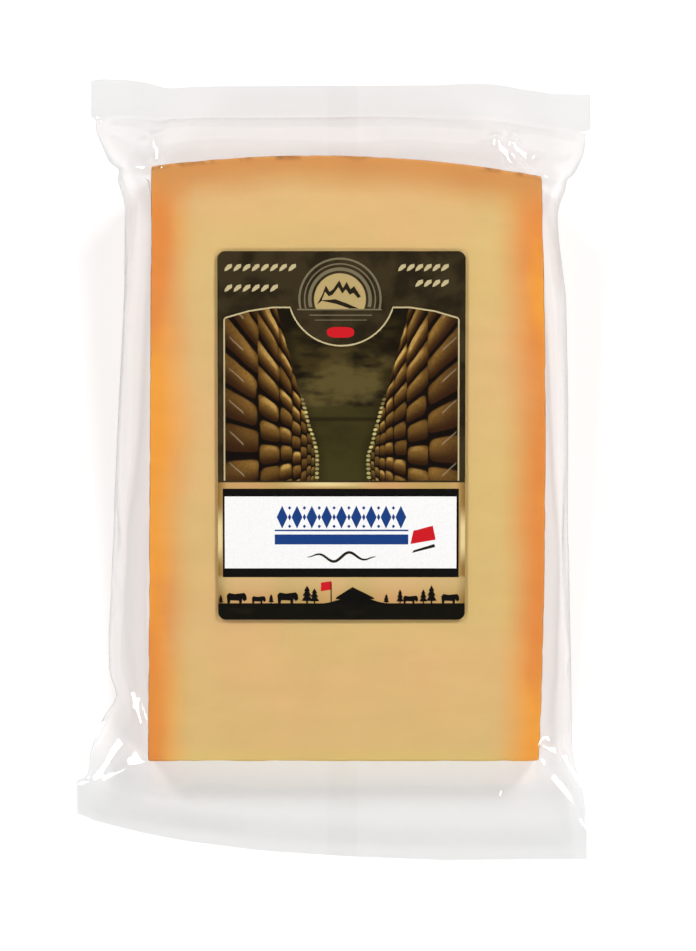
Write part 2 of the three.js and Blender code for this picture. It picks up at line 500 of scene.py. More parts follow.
@dataclass
class Studio:
    """A pale floor lit softly from above and below, a dark ceiling and the camera over the pack."""

    target: Vector
    lamps: tuple[Lamp, ...] = (
        Lamp("heel_left", (-0.56, 0.64, 0.85), 0.26, 5.6),
        Lamp("heel_right", (0.56, 0.62, 0.85), 0.26, 6.6),
        Lamp("cut_left", (-0.62, -0.58, 0.85), 0.22, 2.6),
        Lamp("cut_right", (0.62, -0.56, 0.85), 0.22, 3.2),
    )
    camera_height: float = 1.2
    view_height: float = 256.8 * MM
    sensor: float = 36.0
    floor_size: float = 6.0
    floor_tone: Colour = (0.62, 0.62, 0.62)
    floor_glow: float = 0.52
    walls: float = 0.48
    walls_end: float = 0.15
    ceiling: float = 0.03
    ceiling_start: float = 0.95
    film_layers: int = 32

    @property
    def eye(self) -> Vector:
        """The camera's place."""
        return self.target + Vector((0, 0, self.camera_height))

    def build(self) -> None:
        """Adds the camera, the floor, the lights and the surroundings."""
        self._camera()
        self._floor()
        self._room()
        for lamp in self.lamps:
            self._hang(lamp)
        bpy.context.scene.view_settings.view_transform = "Standard"
        bpy.context.scene.cycles.transparent_max_bounces = self.film_layers

    def _camera(self) -> None:
        """Adds the camera, which looks straight down on the pack."""
        data = bpy.data.cameras.new("camera")
        data.sensor_width = self.sensor
        data.lens = self.sensor * self.camera_height / self.view_height
        camera = bpy.data.objects.new("camera", data)
        camera.location = self.eye
        bpy.context.collection.objects.link(camera)
        bpy.context.scene.camera = camera

    def _floor(self) -> None:
        """Adds the floor that the pack lies on."""
        deselect_all()
        bpy.ops.mesh.primitive_plane_add(size=self.floor_size, location=(0, 0, 0))
        floor = bpy.context.object
        floor.name = "floor"
        finish = Recipe("floor").surface(
            Base_Color=self.floor_tone,
            Roughness=1.0,
            Specular_IOR_Level=0.0,
            Emission_Color=(1, 1, 1),
            Emission_Strength=self.floor_glow,
        )
        floor.data.materials.append(finish)

    def _room(self) -> None:
        """Adds white surroundings that darken overhead."""
        world = bpy.data.worlds.new("room")
        world.use_nodes = True
        nodes, links = world.node_tree.nodes, world.node_tree.links
        background = nodes["Background"]
        place = nodes.new("ShaderNodeTexCoord")
        axes = nodes.new("ShaderNodeSeparateXYZ")
        links.new(place.outputs["Generated"], axes.inputs[0])
        fall = nodes.new("ShaderNodeMapRange")
        fall.interpolation_type = "SMOOTHSTEP"
        fall.inputs["From Min"].default_value = self.walls_end
        fall.inputs["From Max"].default_value = self.ceiling_start
        fall.inputs["To Min"].default_value = self.walls
        fall.inputs["To Max"].default_value = self.ceiling
        links.new(axes.outputs["Z"], fall.inputs["Value"])
        links.new(fall.outputs["Result"], background.inputs["Strength"])
        background.inputs["Color"].default_value = (1, 1, 1, 1)
        bpy.context.scene.world = world

    def _hang(self, lamp: Lamp) -> None:
        """Adds one lamp.

        Args:
            lamp: The lamp's place, size and power.
        """
        data = bpy.data.lights.new(lamp.name, "AREA")
        data.size = lamp.side
        data.energy = lamp.watts
        light = bpy.data.objects.new(lamp.name, data)
        light.location = lamp.place
        light.rotation_euler = (self.target - Vector(lamp.place)).to_track_quat("-Z", "Y").to_euler()
        bpy.context.collection.objects.link(light)

    def glint_slope(self, place: Vector) -> Point:
        """Returns the slope of a facet that mirrors the nearest lamp to the camera.

        Args:
            place: The facet's middle.

        Returns:
            The facet's rise along X and along Y.
        """
        places = [Vector(lamp.place) for lamp in self.lamps]
        nearest = min(places, key=lambda lamp_place: (lamp_place - place).length)
        half = (nearest - place).normalized() + (self.eye - place).normalized()
        return -half.x / half.z, -half.y / half.z


# ---------------------------------------------------------------------------------------------
# The cheese
# ---------------------------------------------------------------------------------------------


@dataclass(frozen=True)
class CheeseFinish:
    """Pale paste that turns orange under the rind, and a brown, grainy rind."""

    shape: WedgeShape
    paste: Colour = srgb(232, 199, 133)
    paste_warm: Colour = srgb(237, 196, 134)
    paste_gold: Colour = srgb(233, 201, 131)
    cut_end: Colour = srgb(234, 204, 124)
    edge: Colour = srgb(255, 172, 66)
    edge_deep: Colour = srgb(240, 150, 70)
    heel_edge: Colour = srgb(224, 158, 88)
    rind_light: Colour = srgb(206, 146, 82)
    rind: Colour = srgb(180, 118, 62)
    rind_dark: Colour = srgb(126, 76, 38)
    drag_shade: Colour = (0.965, 0.96, 0.95)
    cut_end_depth: float = 5 * MM
    side_zone: float = 14 * MM
    heel_zone: float = 13 * MM
    zone_wander: float = 9 * MM
    crumb_depth: float = 1.7 * MM
    relief_depth: float = 0.4 * MM
    glow_depth: float = 2.5 * MM
    rind_share: str = "rind_share"

    def build(self) -> bpy.types.Material:
        """Returns the cheese's material.

        Returns:
            A material for the whole wedge.
        """
        r = Recipe("cheese")
        side, heel = self._depths(r)
        skin = self._skin(r, heel)
        colour = r.mix(skin, self._paste(r, side, heel), self._rind(r))
        shade = r.grain(5 * MM, 3, (3, 1, 1), seed=23).rise(0.3, 0.7)
        colour = r.mix(shade, colour, r.mix(1.0, colour, self.drag_shade, "MULTIPLY"))
        # Fine curds and the wire's drag marks on the paste, and a rough cloth-pressed rind.
        curd = r.grain(1.6 * MM, 3, seed=11)
        drag = r.grain(2.2 * MM, 2, (26, 1, 1), seed=13)
        weave = r.grain(0.9 * MM, 3, seed=17) + r.grain(4 * MM, 2, seed=19)
        relief = (curd * 0.55 + drag * 0.45) * 0.25 + weave * skin * 0.8
        return r.surface(
            Base_Color=colour,
            Roughness=skin * 0.25 + 0.5,
            Normal=r.bump(relief, self.relief_depth, 0.8),
            Subsurface_Weight=0.15,
            Subsurface_Radius=(1.0, 0.55, 0.25),
            Subsurface_Scale=self.glow_depth,
            Specular_IOR_Level=0.3,
        )

    def _depths(self, r: Recipe) -> tuple[Signal, Signal]:
        """Returns how deep a point lies under the rind.

        Args:
            r: The material.

        Returns:
            The depth under the nearer side and the depth under the heel.
        """
        shape = self.shape
        length = shape.high.y - shape.low.y
        along = r.y - shape.low.y
        left = r.x - (along * (shape.left_lean / length) + shape.low.x)
        right = shape.high.x - (along * (2 / length) - 1).power(2) * shape.right_bow - r.x
        heel = shape.high.y - (r.x - shape.crown_x).power(2) / (2 * shape.crown_radius) - r.y
        return left.least(right), heel

    def _paste(self, r: Recipe, side: Signal, heel: Signal) -> Signal:
        """Returns the paste's colour: mottled, and orange near the sides and the heel.

        Args:
            r: The material.
            side: The depth under the nearer side.
            heel: The depth under the heel.

        Returns:
            The colour.
        """
        paste = r.mix(r.grain(38 * MM, 2, seed=3).rise(0.35, 0.65), self.paste, self.paste_warm)
        paste = r.mix(r.grain(60 * MM, 1, (1, 0.6, 1), seed=9).rise(0.45, 0.7), paste, self.paste_gold)
        near_cut_end = (r.y - self.shape.low.y).rise(self.cut_end_depth, 0.3 * MM)
        paste = r.mix(near_cut_end * 0.7, paste, self.cut_end)
        tone = r.mix(r.grain(16 * MM, 2, (1, 3, 1), seed=5).rise(0.4, 0.62), self.edge, self.edge_deep)
        wander = (r.grain(26 * MM, 3, (1, 1.6, 1)) - 0.5) * self.zone_wander
        colour = r.mix((side + wander).rise(self.side_zone, 1 * MM), paste, tone)
        return r.mix((heel + wander * 0.7).rise(self.heel_zone, 1 * MM), colour, self.heel_edge)

    def _skin(self, r: Recipe, heel: Signal) -> Signal:
        """Returns how much of a point is rind, with crumbs of it along the heel's cut edge.

        Args:
            r: The material.
            heel: The depth under the heel.

        Returns:
            The share of rind, from 0 to 1.
        """
        share = Signal(r, r.add("ShaderNodeAttribute", attribute_name=self.rind_share).outputs["Fac"])
        at_heel = heel.rise(self.crumb_depth, 0.2 * MM)
        crumbs = at_heel * r.grain(8 * MM, 5, seed=33).rise(0.47, 0.56) * 0.7
        ragged = share + (r.grain(2.5 * MM, 3, seed=29) - 0.5) * 0.9
        return ragged.rise(0.4, 0.6).most(crumbs)

    def _rind(self, r: Recipe) -> Signal:
        """Returns the rind's own colour: brown, with dark grains."""
        rind = r.mix(r.grain(9 * MM, 3, seed=27).rise(0.35, 0.65), self.rind_light, self.rind)
        return r.mix(r.grain(2.2 * MM, 4, seed=7).rise(0.45, 0.7) * 0.75, rind, self.rind_dark)


@dataclass
class CheeseWedge:
    """One piece of cheese: two cut faces, a cut end, two rind sides and the heel."""

    shape: WedgeShape
    columns: int = 26
    rows: int = 40
    layers: int = 7
    sharp_angle: float = 50
    edge_round: float = 0.6 * MM
    cut_wave_height: float = 0.18 * MM
    cut_wave_length: float = 7 * MM
    pit_depth: float = 0.45 * MM
    pit_size: float = 5 * MM
    most_proud: float = 0.05 * MM
    rind_from: float = 0.2
    rind_rise: float = 0.5
    cut_end_facing: float = -0.6

    def build(self) -> bpy.types.Object:
        """Returns the finished wedge.

        Returns:
            The wedge, dressed.
        """
        piece = self._block()
        self._shape_block(piece)
        self._round_cut_edges(piece)
        subdivision = piece.modifiers.new("soften", "SUBSURF")
        subdivision.levels = subdivision.render_levels = 2
        apply_modifiers(piece)
        self._weather(piece)
        smooth(piece, degrees=40)
        self._mark_rind(piece)
        piece.data.materials.append(CheeseFinish(self.shape).build())
        return piece

    def _block(self) -> bpy.types.Object:
        """Returns a unit block of evenly divided faces, from a grid extruded upwards.

        Returns:
            The block, centred in X and Y.
        """
        deselect_all()
        bpy.ops.mesh.primitive_grid_add(x_subdivisions=self.columns, y_subdivisions=self.rows, size=1)
        piece = bpy.context.object
        with edit_mode(piece):
            bpy.ops.mesh.select_all(action="SELECT")
            for _ in range(self.layers):
                step = {"value": (0, 0, 1 / self.layers)}
                bpy.ops.mesh.extrude_region_move(TRANSFORM_OT_translate=step)
            bpy.ops.mesh.select_all(action="SELECT")
            bpy.ops.mesh.normals_make_consistent(inside=False)
        settle(piece, "cheese_block")
        return piece

    def _shape_block(self, piece: bpy.types.Object) -> None:
        """Gives the block the wedge's outline and taper.

        Args:
            piece: The unit block.
        """
        shape = self.shape
        unit = points_of(piece.data) + (0.5, 0.5, 0)
        y = shape.low.y + unit[:, 1] * (shape.high.y - shape.low.y)
        x = shape.left(y) + unit[:, 0] * (shape.right(y) - shape.left(y))
        y = shape.low.y + unit[:, 1] * (shape.heel(x) - shape.low.y)
        z = shape.low.z + unit[:, 2] * shape.thickness(y)
        set_points(piece.data, np.column_stack((x, y, z)))

    def _round_cut_edges(self, piece: bpy.types.Object) -> None:
        """Bevels the edges round the two cut faces and down the cut end.

        Args:
            piece: The shaped block.
        """
        with edit_mode(piece, "EDGE"):
            bpy.ops.mesh.select_all(action="DESELECT")
            bpy.ops.object.mode_set(mode="OBJECT")
            mesh = piece.data
            faces = {edge.key: [] for edge in mesh.edges}
            for polygon in mesh.polygons:
                for key in polygon.edge_keys:
                    faces[key].append(polygon.normal)
            for edge in mesh.edges:
                first, second = faces[edge.key]
                edge.select = first.angle(second) > math.radians(self.sharp_angle)
            bpy.ops.object.mode_set(mode="EDIT")
            bpy.ops.mesh.bevel(offset=self.edge_round, segments=2, affect="EDGES")

    def _mark_rind(self, piece: bpy.types.Object) -> None:
        """Writes how far each point lies on the rind: the sides and the heel, not the cut faces.

        Args:
            piece: The finished wedge.
        """
        normals = normals_of(piece.data)
        lean = 1 - np.abs(normals[:, 2])
        share = np.clip((lean - self.rind_from) / self.rind_rise, 0, 1)
        rind = piece.data.attributes.new(CheeseFinish.rind_share, "FLOAT", "POINT")
        rind.data.foreach_set("value", share * (normals[:, 1] > self.cut_end_facing))

    def _weather(self, piece: bpy.types.Object) -> None:
        """Makes the cut faces slightly wavy and the rind uneven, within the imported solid.

        Args:
            piece: The subdivided wedge.
        """
        points = points_of(piece.data)
        normals = normals_of(piece.data)
        wave = noise_at(points * (0.25, 1, 1), self.cut_wave_length, 2.5) * self.cut_wave_height
        pits = noise_at(points, self.pit_size, 8.1) * self.pit_depth
        moved = np.where(normals[:, 2] ** 2 > 0.5, wave, np.minimum(pits, 0))
        set_points(piece.data, points + normals * np.minimum(moved, self.most_proud)[:, None])


# ---------------------------------------------------------------------------------------------
# The film
# ---------------------------------------------------------------------------------------------


@dataclass(frozen=True)
class FilmFinish:
    """Clear film: each of its faces lets most light through and mirrors the rest, more so edge on.

    The welded bands, found by an attribute that says how far a point is from the trimmed edge, are
    a little milky, with fine ribs across the pack. So is the crumpled film next to them.
    """

    name: str
    weld: float
    clear: Colour = (0.997, 0.996, 0.996)
    edge_on: Colour = (0.99, 0.99, 0.99)
    welded: Colour = (0.974, 0.974, 0.974)
    gloss_roughness: float = 0.09
    straight_on: float = 0.04
    relief: float = 0.1 * MM
    rib_pitch: float = 1.25 * MM
    weld_blend: float = 0.2 * MM
    plain_edge: Pair = (0.6 * MM, 1.2 * MM)
    crumpled_from: float = 15 * MM
    crumpled_to: float = 3 * MM
    crumpled_share: float = 0.95
    weld_reach: str = "from_trimmed_edge"

    def build(self) -> bpy.types.Material:
        """Returns the film's material.

        Returns:
            A mix of a clear face and a mirror.
        """
        r = Recipe(self.name)
        reach = Signal(r, r.add("ShaderNodeAttribute", attribute_name=self.weld_reach).outputs["Fac"])
        in_weld = reach.rise(self.weld + self.weld_blend, self.weld - self.weld_blend)
        rib = abs((reach / self.rib_pitch).part() - 0.5) * in_weld * reach.rise(*self.plain_edge)
        slack = r.grain(6 * MM, 2, (1, 2.5, 1), seed=2) * (1 - in_weld)
        normal = r.bump(slack + rib * 0.5, self.relief)
        angle = r.add("ShaderNodeLayerWeight")
        angle.inputs["Blend"].default_value = 0.5
        r.feed(angle.inputs["Normal"], normal)
        facing = Signal(r, angle.outputs["Facing"])
        tint = r.mix(facing.power(1.5), self.clear, self.edge_on)
        crumpled = reach.rise(self.weld + self.crumpled_from, self.weld + self.crumpled_to)
        milky = in_weld.most(crumpled * self.crumpled_share)
        through = r.add("ShaderNodeBsdfTransparent")
        r.feed(through.inputs["Color"], r.mix(milky, tint, self.welded))
        shine = r.add("ShaderNodeBsdfGlossy")
        r.feed(shine.inputs["Roughness"], self.gloss_roughness)
        r.feed(shine.inputs["Normal"], normal)
        both = r.add("ShaderNodeMixShader")
        r.feed(both.inputs[0], facing.power(5) * (1 - self.straight_on) + self.straight_on)
        r.feed(both.inputs[1], through.outputs[0])
        r.feed(both.inputs[2], shine.outputs[0])
        r.feed(r.output.inputs["Surface"], both.outputs[0])
        return r.material


@dataclass(frozen=True)
class ClothRun:
    """How the film behaves as cloth.

    The run is made at a larger scale, and its gaps and its merge distance are at that scale.
    """

    scale: float = 10
    frames: int = 30
    quality: int = 6
    mass: float = 0.05
    stretch_stiffness: float = 60
    shear_stiffness: float = 30
    bending_stiffness: float = 0.5
    damping: float = 10
    bending_damping: float = 1
    air_damping: float = 5
    holding_stiffness: float = 50
    gas_pressure: float = 5
    film_gap: float = 0.003
    contact_quality: int = 3
    obstacle_gap: float = 0.002
    obstacle_depth: float = 0.05
    merge_distance: float = 1e-5

    def dress(self, piece: bpy.types.Object, flat: bpy.types.ShapeKey, held: str) -> None:
        """Makes a piece cloth.

        Args:
            piece: The piece.
            flat: The shape that the cloth has when nothing stretches it.
            held: The name of the group of points that don't move.
        """
        cloth = piece.modifiers.new("Cloth", "CLOTH")
        settings = cloth.settings
        settings.quality = self.quality
        settings.mass = self.mass
        settings.tension_stiffness = self.stretch_stiffness
        settings.compression_stiffness = self.stretch_stiffness
        settings.shear_stiffness = self.shear_stiffness
        settings.bending_stiffness = self.bending_stiffness
        settings.tension_damping = self.damping
        settings.compression_damping = self.damping
        settings.shear_damping = self.damping
        settings.bending_damping = self.bending_damping
        settings.air_damping = self.air_damping
        settings.vertex_group_mass = held
        settings.pin_stiffness = self.holding_stiffness
        settings.rest_shape_key = flat
        settings.use_pressure = True
        settings.uniform_pressure_force = self.gas_pressure
        settings.effector_weights.gravity = 0
        cloth.collision_settings.distance_min = self.film_gap
        cloth.collision_settings.collision_quality = self.contact_quality

    def harden(self, obstacle: bpy.types.Object) -> None:
        """Makes an object one that the film can't pass through.

        Args:
            obstacle: The object.
        """
        obstacle.modifiers.new("Collision", "COLLISION")
        obstacle.collision.thickness_outer = self.obstacle_gap
        obstacle.collision.thickness_inner = self.obstacle_depth

    def play(self) -> None:
        """Steps the scene from the first frame to the last."""
        scene = bpy.context.scene
        scene.frame_start, scene.frame_end = 1, self.frames
        for number in range(1, self.frames + 1):
            scene.frame_set(number)


class Zone(Enum):
    """The stretches of the web, numbered from the trimmed edge at the cut end."""

    CUT_WELD = 0
    CUT_SLOPE = 1
    PANEL = 2
    HEEL_SLOPE = 3
    HEEL_WELD = 4

    def between(self, stations: Sequence[float | np.ndarray], share: float) -> float | np.ndarray:
        """Returns a value part way through the zone, from the values at the six zone ends."""
        start, end = stations[self.value], stations[self.value + 1]
        return start + (end - start) * share


@dataclass(frozen=True)
class WebEnd:
    """One end of the pack: its slope from the wedge, and its weld's place and slow waves.

    The weld's inner height is that of its edge towards the wedge, and the outer one is that of the
    trimmed edge.
    """

    slope: float
    shift: float
    half_width: float
    inner_height: float
    outer_height: float
    wave_height: float
    wave_phase: float


@dataclass(frozen=True)
class Crease:
    """One narrow flat facet pulled into the film between two points in plan, all in millimetres."""

    start: Point
    end: Point
    width: float


@dataclass
class FilmWrapper:
    """One web of film round the wedge: a tube with a welded band at each end and a back fin.

    The tube is made flat, as the web is, shaped roughly round the wedge, and then relaxed as cloth
    that keeps its flat size, with a little gas inside it and the welds held. The outlines of its
    trimmed edges and side folds, and its creases, are in millimetres.
    """

    shape: WedgeShape
    bounds: tuple[Vector, Vector]
    studio: Studio
    cloth: ClothRun = ClothRun()
    girth: float = 278 * MM
    weld: float = 10 * MM
    thickness: float = 0.1 * MM
    contact: float = 0.42 * MM
    back_height: float = 0.35 * MM
    floor_height: float = 0.05 * MM
    half_gap: float = 0.06 * MM
    grip_margin: float = 2.5 * MM
    cut_end: WebEnd = WebEnd(
        slope=17.4 * MM,
        shift=-0.3 * MM,
        half_width=69.6 * MM,
        inner_height=7 * MM,
        outer_height=6 * MM,
        wave_height=0.35 * MM,
        wave_phase=3.0,
    )
    heel_end: WebEnd = WebEnd(
        slope=18.9 * MM,
        shift=2.1 * MM,
        half_width=67.8 * MM,
        inner_height=14 * MM,
        outer_height=13.5 * MM,
        wave_height=0.25 * MM,
        wave_phase=11.0,
    )
    cut_outline: Outline = (
        (-70, -93.8), (-65, -95.9), (-52, -99.2), (-38.6, -101.7), (-20, -104.0), (5, -105.7),
        (29, -106.6), (50, -106.5), (70, -106.4),
    )
    heel_outline: Outline = (
        (-66, 105.5), (-63, 106.0), (-55, 105.7), (-50, 104.9), (-45, 103.5), (-36, 104.0), (0, 104.2),
        (28, 104.3), (38, 104.9), (45, 104.5), (52, 103.2), (60, 102.0), (70, 101.8),
    )
    left_outline: Outline = (
        (-88, -69.3), (-78.4, -66.7), (-73.6, -65.1), (-66.3, -62.1), (-62, -58.5), (-56, -61),
        (-46, -61.3), (-11, -59.7), (20, -58.2), (50, -56.6), (72, -56.4), (77.4, -58), (84.9, -61.3),
        (93.6, -65.5),
    )
    right_outline: Outline = (
        (-95, 69.2), (-87, 68), (-78, 65.2), (-67, 65.1), (-40, 64.6), (-11, 64.1), (20, 63.9),
        (47, 63.2), (62, 61.3), (70, 60.8), (75.5, 62.9), (79.5, 65.6), (84.1, 68), (92, 69.7),
    )
    # The cloth's grid, and the finer one that the film is finished on.
    columns: int = 136
    rows: int = 108
    weld_rows: int = 12
    body_rows: int = 190
    side_columns: int = 42
    panel_columns: int = 18
    side_margin: float = 30 * MM
    calm_rounds: int = 30
    calm_step: float = 0.6
    calm_along: float = 0.7
    calm_start: float = 0.6 * MM
    calm_depth: float = 2 * MM
    calm_beside: float = 0.2
    fold_range: Pair = (-94, 95)
    fold_places: int = 110
    fold_window: float = 0.9 * MM
    fold_least: float = 0.5 * MM
    fold_fade: Pair = (2.5 * MM, 3 * MM)
    wave_reach: float = 9 * MM
    wave_lengths: Pair = (7.5 * MM, 4.1 * MM)
    short_wave_share: float = 0.6
    fin_start: float = -1.5 * MM
    fin_width: float = 8 * MM
    fin_drop: float = 0.17 * MM
    fin_thickness: float = 0.16 * MM
    fin_mirror: float = 0.008
    fin_columns: int = 6
    crease_blend: float = 1.1 * MM
    crease_clearance: float = 0.3 * MM
    creases: tuple[Crease, ...] = (
        Crease((-57.5, -74.4), (-64.8, -83.8), 2.2),
        Crease((-62.1, -68.2), (-64.8, -73.6), 1.2),
        Crease((-54.5, -60.0), (-52.1, -69.0), 1.6),
        Crease((57.2, -75.2), (62.6, -77.9), 1.8),
        Crease((62.6, -77.9), (68.0, -86.5), 1.8),
        Crease((45.9, -86.5), (45.1, -89.2), 1.0),
        Crease((43.9, 89.0), (47.8, 82.2), 1.8),
        Crease((49.0, 89.8), (48.3, 88.2), 1.4),
        Crease((48.3, 88.2), (53.2, 81.9), 1.8),
        Crease((53.2, 81.9), (55.1, 84.9), 1.4),
        Crease((-50.2, 89.6), (-46.7, 89.6), 1.7),
        Crease((-48.1, 89.0), (-47.2, 83.0), 1.8),
    )

    def __post_init__(self) -> None:
        """Works out the flat web's length, and the panels' half width and middle."""
        shape = self.shape
        self.panel = (shape.high.y - shape.low.y + 2 * self.contact) / math.cos(shape.tilt)
        self.length = 2 * self.weld + self.cut_end.slope + self.heel_end.slope + self.panel
        self.half_panel = (shape.high.x - shape.low.x) / 2 + self.contact
        self.middle = (shape.high.x + shape.low.x) / 2

    def cut_edge(self, x: np.ndarray) -> np.ndarray:
        """Returns the Y of the trimmed edge at the cut end."""
        return read_outline(self.cut_outline, x)

    def heel_edge(self, x: np.ndarray) -> np.ndarray:
        """Returns the Y of the trimmed edge at the heel end."""
        return read_outline(self.heel_outline, x)

    def _zone(self, v: float) -> tuple[Zone, float]:
        """Returns which zone of the web a place along it is in.

        Args:
            v: The place, from the trimmed edge at the cut end.

        Returns:
            The zone, and how far through it the place is.
        """
        extents = (self.weld, self.cut_end.slope, self.panel, self.heel_end.slope)
        for zone, extent in zip(Zone, extents):
            if v < extent:
                return zone, v / extent
            v -= extent
        return Zone.HEEL_WELD, min(v / self.weld, 1.0)

    def _section(
        self, closed: float, top: float, bottom: float, fold: float
    ) -> tuple[np.ndarray, np.ndarray]:
        """Returns one section of the tube, of the web's own girth.

        Args:
            closed: How far the tube is closed here, from 0 over the wedge to 1 in a weld.
            top: The front panel's height.
            bottom: The back panel's height.
            fold: The side folds' height.

        Returns:
            The offset from the section's middle and the height of each column.
        """
        quarter = self.girth / 4
        around = np.arange(self.columns) / self.columns * self.girth
        front = around < self.girth / 2
        across = np.where(front, around - quarter, 3 * quarter - around)
        panel = self.half_panel + (quarter - self.half_panel) * closed
        side = max(quarter - panel, 1e-9)
        half_height = (top - bottom) / 2 * (1 - closed)
        reach = math.sqrt(max(side**2 - half_height**2, 0))
        share = np.clip(np.abs(across) - panel, 0, None) / side
        x = np.where(np.abs(across) <= panel, across, np.sign(across) * (panel + share * reach))
        flat = np.where(front, fold + half_height, fold - half_height)
        return x, flat + (fold - flat) * share

    def _start_row(self, zone: Zone, share: float) -> tuple[np.ndarray, np.ndarray]:
        """Returns one row of the tube's rough shape round the wedge.

        Args:
            zone: The zone of the web that the row is in.
            share: How far through the zone it is.

        Returns:
            The row's points, and which of them are held.
        """
        shape, cut, heel = self.shape, self.cut_end, self.heel_end
        low_y, high_y = shape.low.y - self.contact, shape.high.y + self.contact
        closed = zone.between((1, 1, 0, 0, 1, 1), share)
        y = zone.between((low_y, low_y, low_y, high_y, high_y, high_y), share)
        top, bottom = shape.front(y) + self.contact, self.back_height
        middle = (top + bottom) / 2
        heights = (
            cut.outer_height, cut.inner_height, middle, middle, heel.inner_height, heel.outer_height
        )
        across, z = self._section(closed, top, bottom, zone.between(heights, share))
        end = cut if zone.value < Zone.PANEL.value else heel
        weld_middle = (self.bounds[0].x + self.bounds[1].x) / 2 + end.shift
        x = self.middle + (weld_middle - self.middle) * closed
        x = x + across * (1 + (end.half_width / (self.girth / 4) - 1) * closed)
        end_of_heel = shape.heel(np.clip(x, shape.low.x, shape.high.x)) + self.contact
        cut_inner, heel_inner = self.cut_edge(x) + self.weld, self.heel_edge(x) - self.weld
        stations = (
            cut_inner - self.weld, cut_inner, low_y, end_of_heel, heel_inner, heel_inner + self.weld
        )
        y = zone.between(stations, share)
        held = np.full(self.columns, closed == 1)
        if closed == 1:
            # The two welded layers lie a little apart.
            front = np.arange(self.columns) < self.columns / 2
            z = z + np.where(front, self.half_gap, -self.half_gap)
        if zone is Zone.PANEL:
            margin = self.grip_margin
            held = (x > shape.left(y) + margin) & (x < shape.right(y) - margin)
            held &= (y > shape.low.y + margin) & (y < shape.heel(x) - margin)
        return np.column_stack((x, y, z)), held

    def _start(self) -> tuple[np.ndarray, np.ndarray]:
        """Returns the tube's rough shape round the wedge.

        Returns:
            The grid of its points, and which of them are held.
        """
        places = np.linspace(0, self.length, self.rows + 1)
        rows = [self._start_row(*self._zone(v)) for v in places]
        return np.array([points for points, _ in rows]), np.array([held for _, held in rows])

    def _flat_web(self) -> np.ndarray:
        """Returns the web before it was shaped.

        Returns:
            The grid of its points, rolled into a plain tube of the web's own size.
        """
        grid = np.zeros((self.rows + 1, self.columns, 3))
        angle = np.arange(self.columns) / self.columns * 2 * math.pi
        radius = self.girth / (2 * math.pi)
        grid[..., 0] = -radius * np.cos(angle)
        grid[..., 1] = np.linspace(0, self.length, self.rows + 1)[:, None]
        grid[..., 2] = radius * np.sin(angle)
        return grid

    def _tube(self, name: str, grid: np.ndarray) -> bpy.types.Object:
        """Returns a tube with one vertex for each point of a grid.

        Args:
            name: The tube's name.
            grid: The points, whose columns go round the tube.

        Returns:
            The tube, without thickness.
        """
        corners = np.arange(grid[..., 0].size).reshape(grid.shape[:2])
        beside = np.roll(corners, -1, axis=1)
        faces = np.stack((corners[:-1], beside[:-1], beside[1:], corners[1:]), axis=-1)
        mesh = bpy.data.meshes.new(name)
        mesh.from_pydata(grid.reshape(-1, 3).tolist(), [], faces.reshape(-1, 4).tolist())
        mesh.update()
        piece = bpy.data.objects.new(name, mesh)
        bpy.context.collection.objects.link(piece)
        return piece

    def _obstacles(self) -> list[bpy.types.Object]:
        """Returns what the film can't pass through.

        Returns:
            The enlarged wedge and the floor.
        """
        wedge = bpy.data.objects.new("film_former", bpy.data.objects["cheese_wedge"].data.copy())
        bpy.context.collection.objects.link(wedge)
        wedge.data.transform(Matrix.Scale(self.cloth.scale, 4))
        with edit_mode(wedge, "VERT"):
            bpy.ops.mesh.select_all(action="SELECT")
            bpy.ops.mesh.remove_doubles(threshold=self.cloth.merge_distance)
        deselect_all()
        height = self.floor_height * self.cloth.scale
        bpy.ops.mesh.primitive_plane_add(size=self.studio.floor_size, location=(0, 0, height))
        obstacles = [wedge, bpy.context.object]
        for obstacle in obstacles:
            self.cloth.harden(obstacle)
        return obstacles

    def _relax(self, start: np.ndarray, held: np.ndarray) -> np.ndarray:
        """Runs the film as cloth.

        Args:
            start: The grid of its rough shape.
            held: Which points don't move.

        Returns:
            The grid where the film comes to rest.
        """
        scale = self.cloth.scale
        piece = self._tube("film_blank", start * scale)
        piece.shape_key_add(name="Basis")
        flat = piece.shape_key_add(name="flat")
        flat.data.foreach_set("co", (self._flat_web() * scale).ravel())
        group = piece.vertex_groups.new(name="held")
        group.add([int(i) for i in np.flatnonzero(held)], 1.0, "REPLACE")
        self.cloth.dress(piece, flat, group.name)
        obstacles = self._obstacles()
        self.cloth.play()
        evaluated = piece.evaluated_get(bpy.context.evaluated_depsgraph_get())
        rested = points_of(evaluated.to_mesh()).reshape(start.shape) / scale
        evaluated.to_mesh_clear()
        for scrap in (piece, *obstacles):
            bpy.data.objects.remove(scrap)
        bpy.context.scene.frame_set(1)
        return rested

    def _resample(self, grid: np.ndarray, places: np.ndarray) -> np.ndarray:
        """Reads a grid's rows at places between them, along smooth curves.

        Args:
            grid: The grid to read.
            places: Where to read it, counted in rows.

        Returns:
            A grid with one row for each place.
        """
        last = grid.shape[0] - 1
        index = np.clip(places.astype(int), 0, last - 1)
        t = (places - index)[:, None, None]
        before, here = grid[np.clip(index - 1, 0, last)], grid[index]
        after, beyond = grid[index + 1], grid[np.clip(index + 2, 0, last)]
        return 0.5 * (
            2 * here
            + (after - before) * t
            + (2 * before - 5 * here + 4 * after - beyond) * t**2
            + (3 * here - before - 3 * after + beyond) * t**3
        )

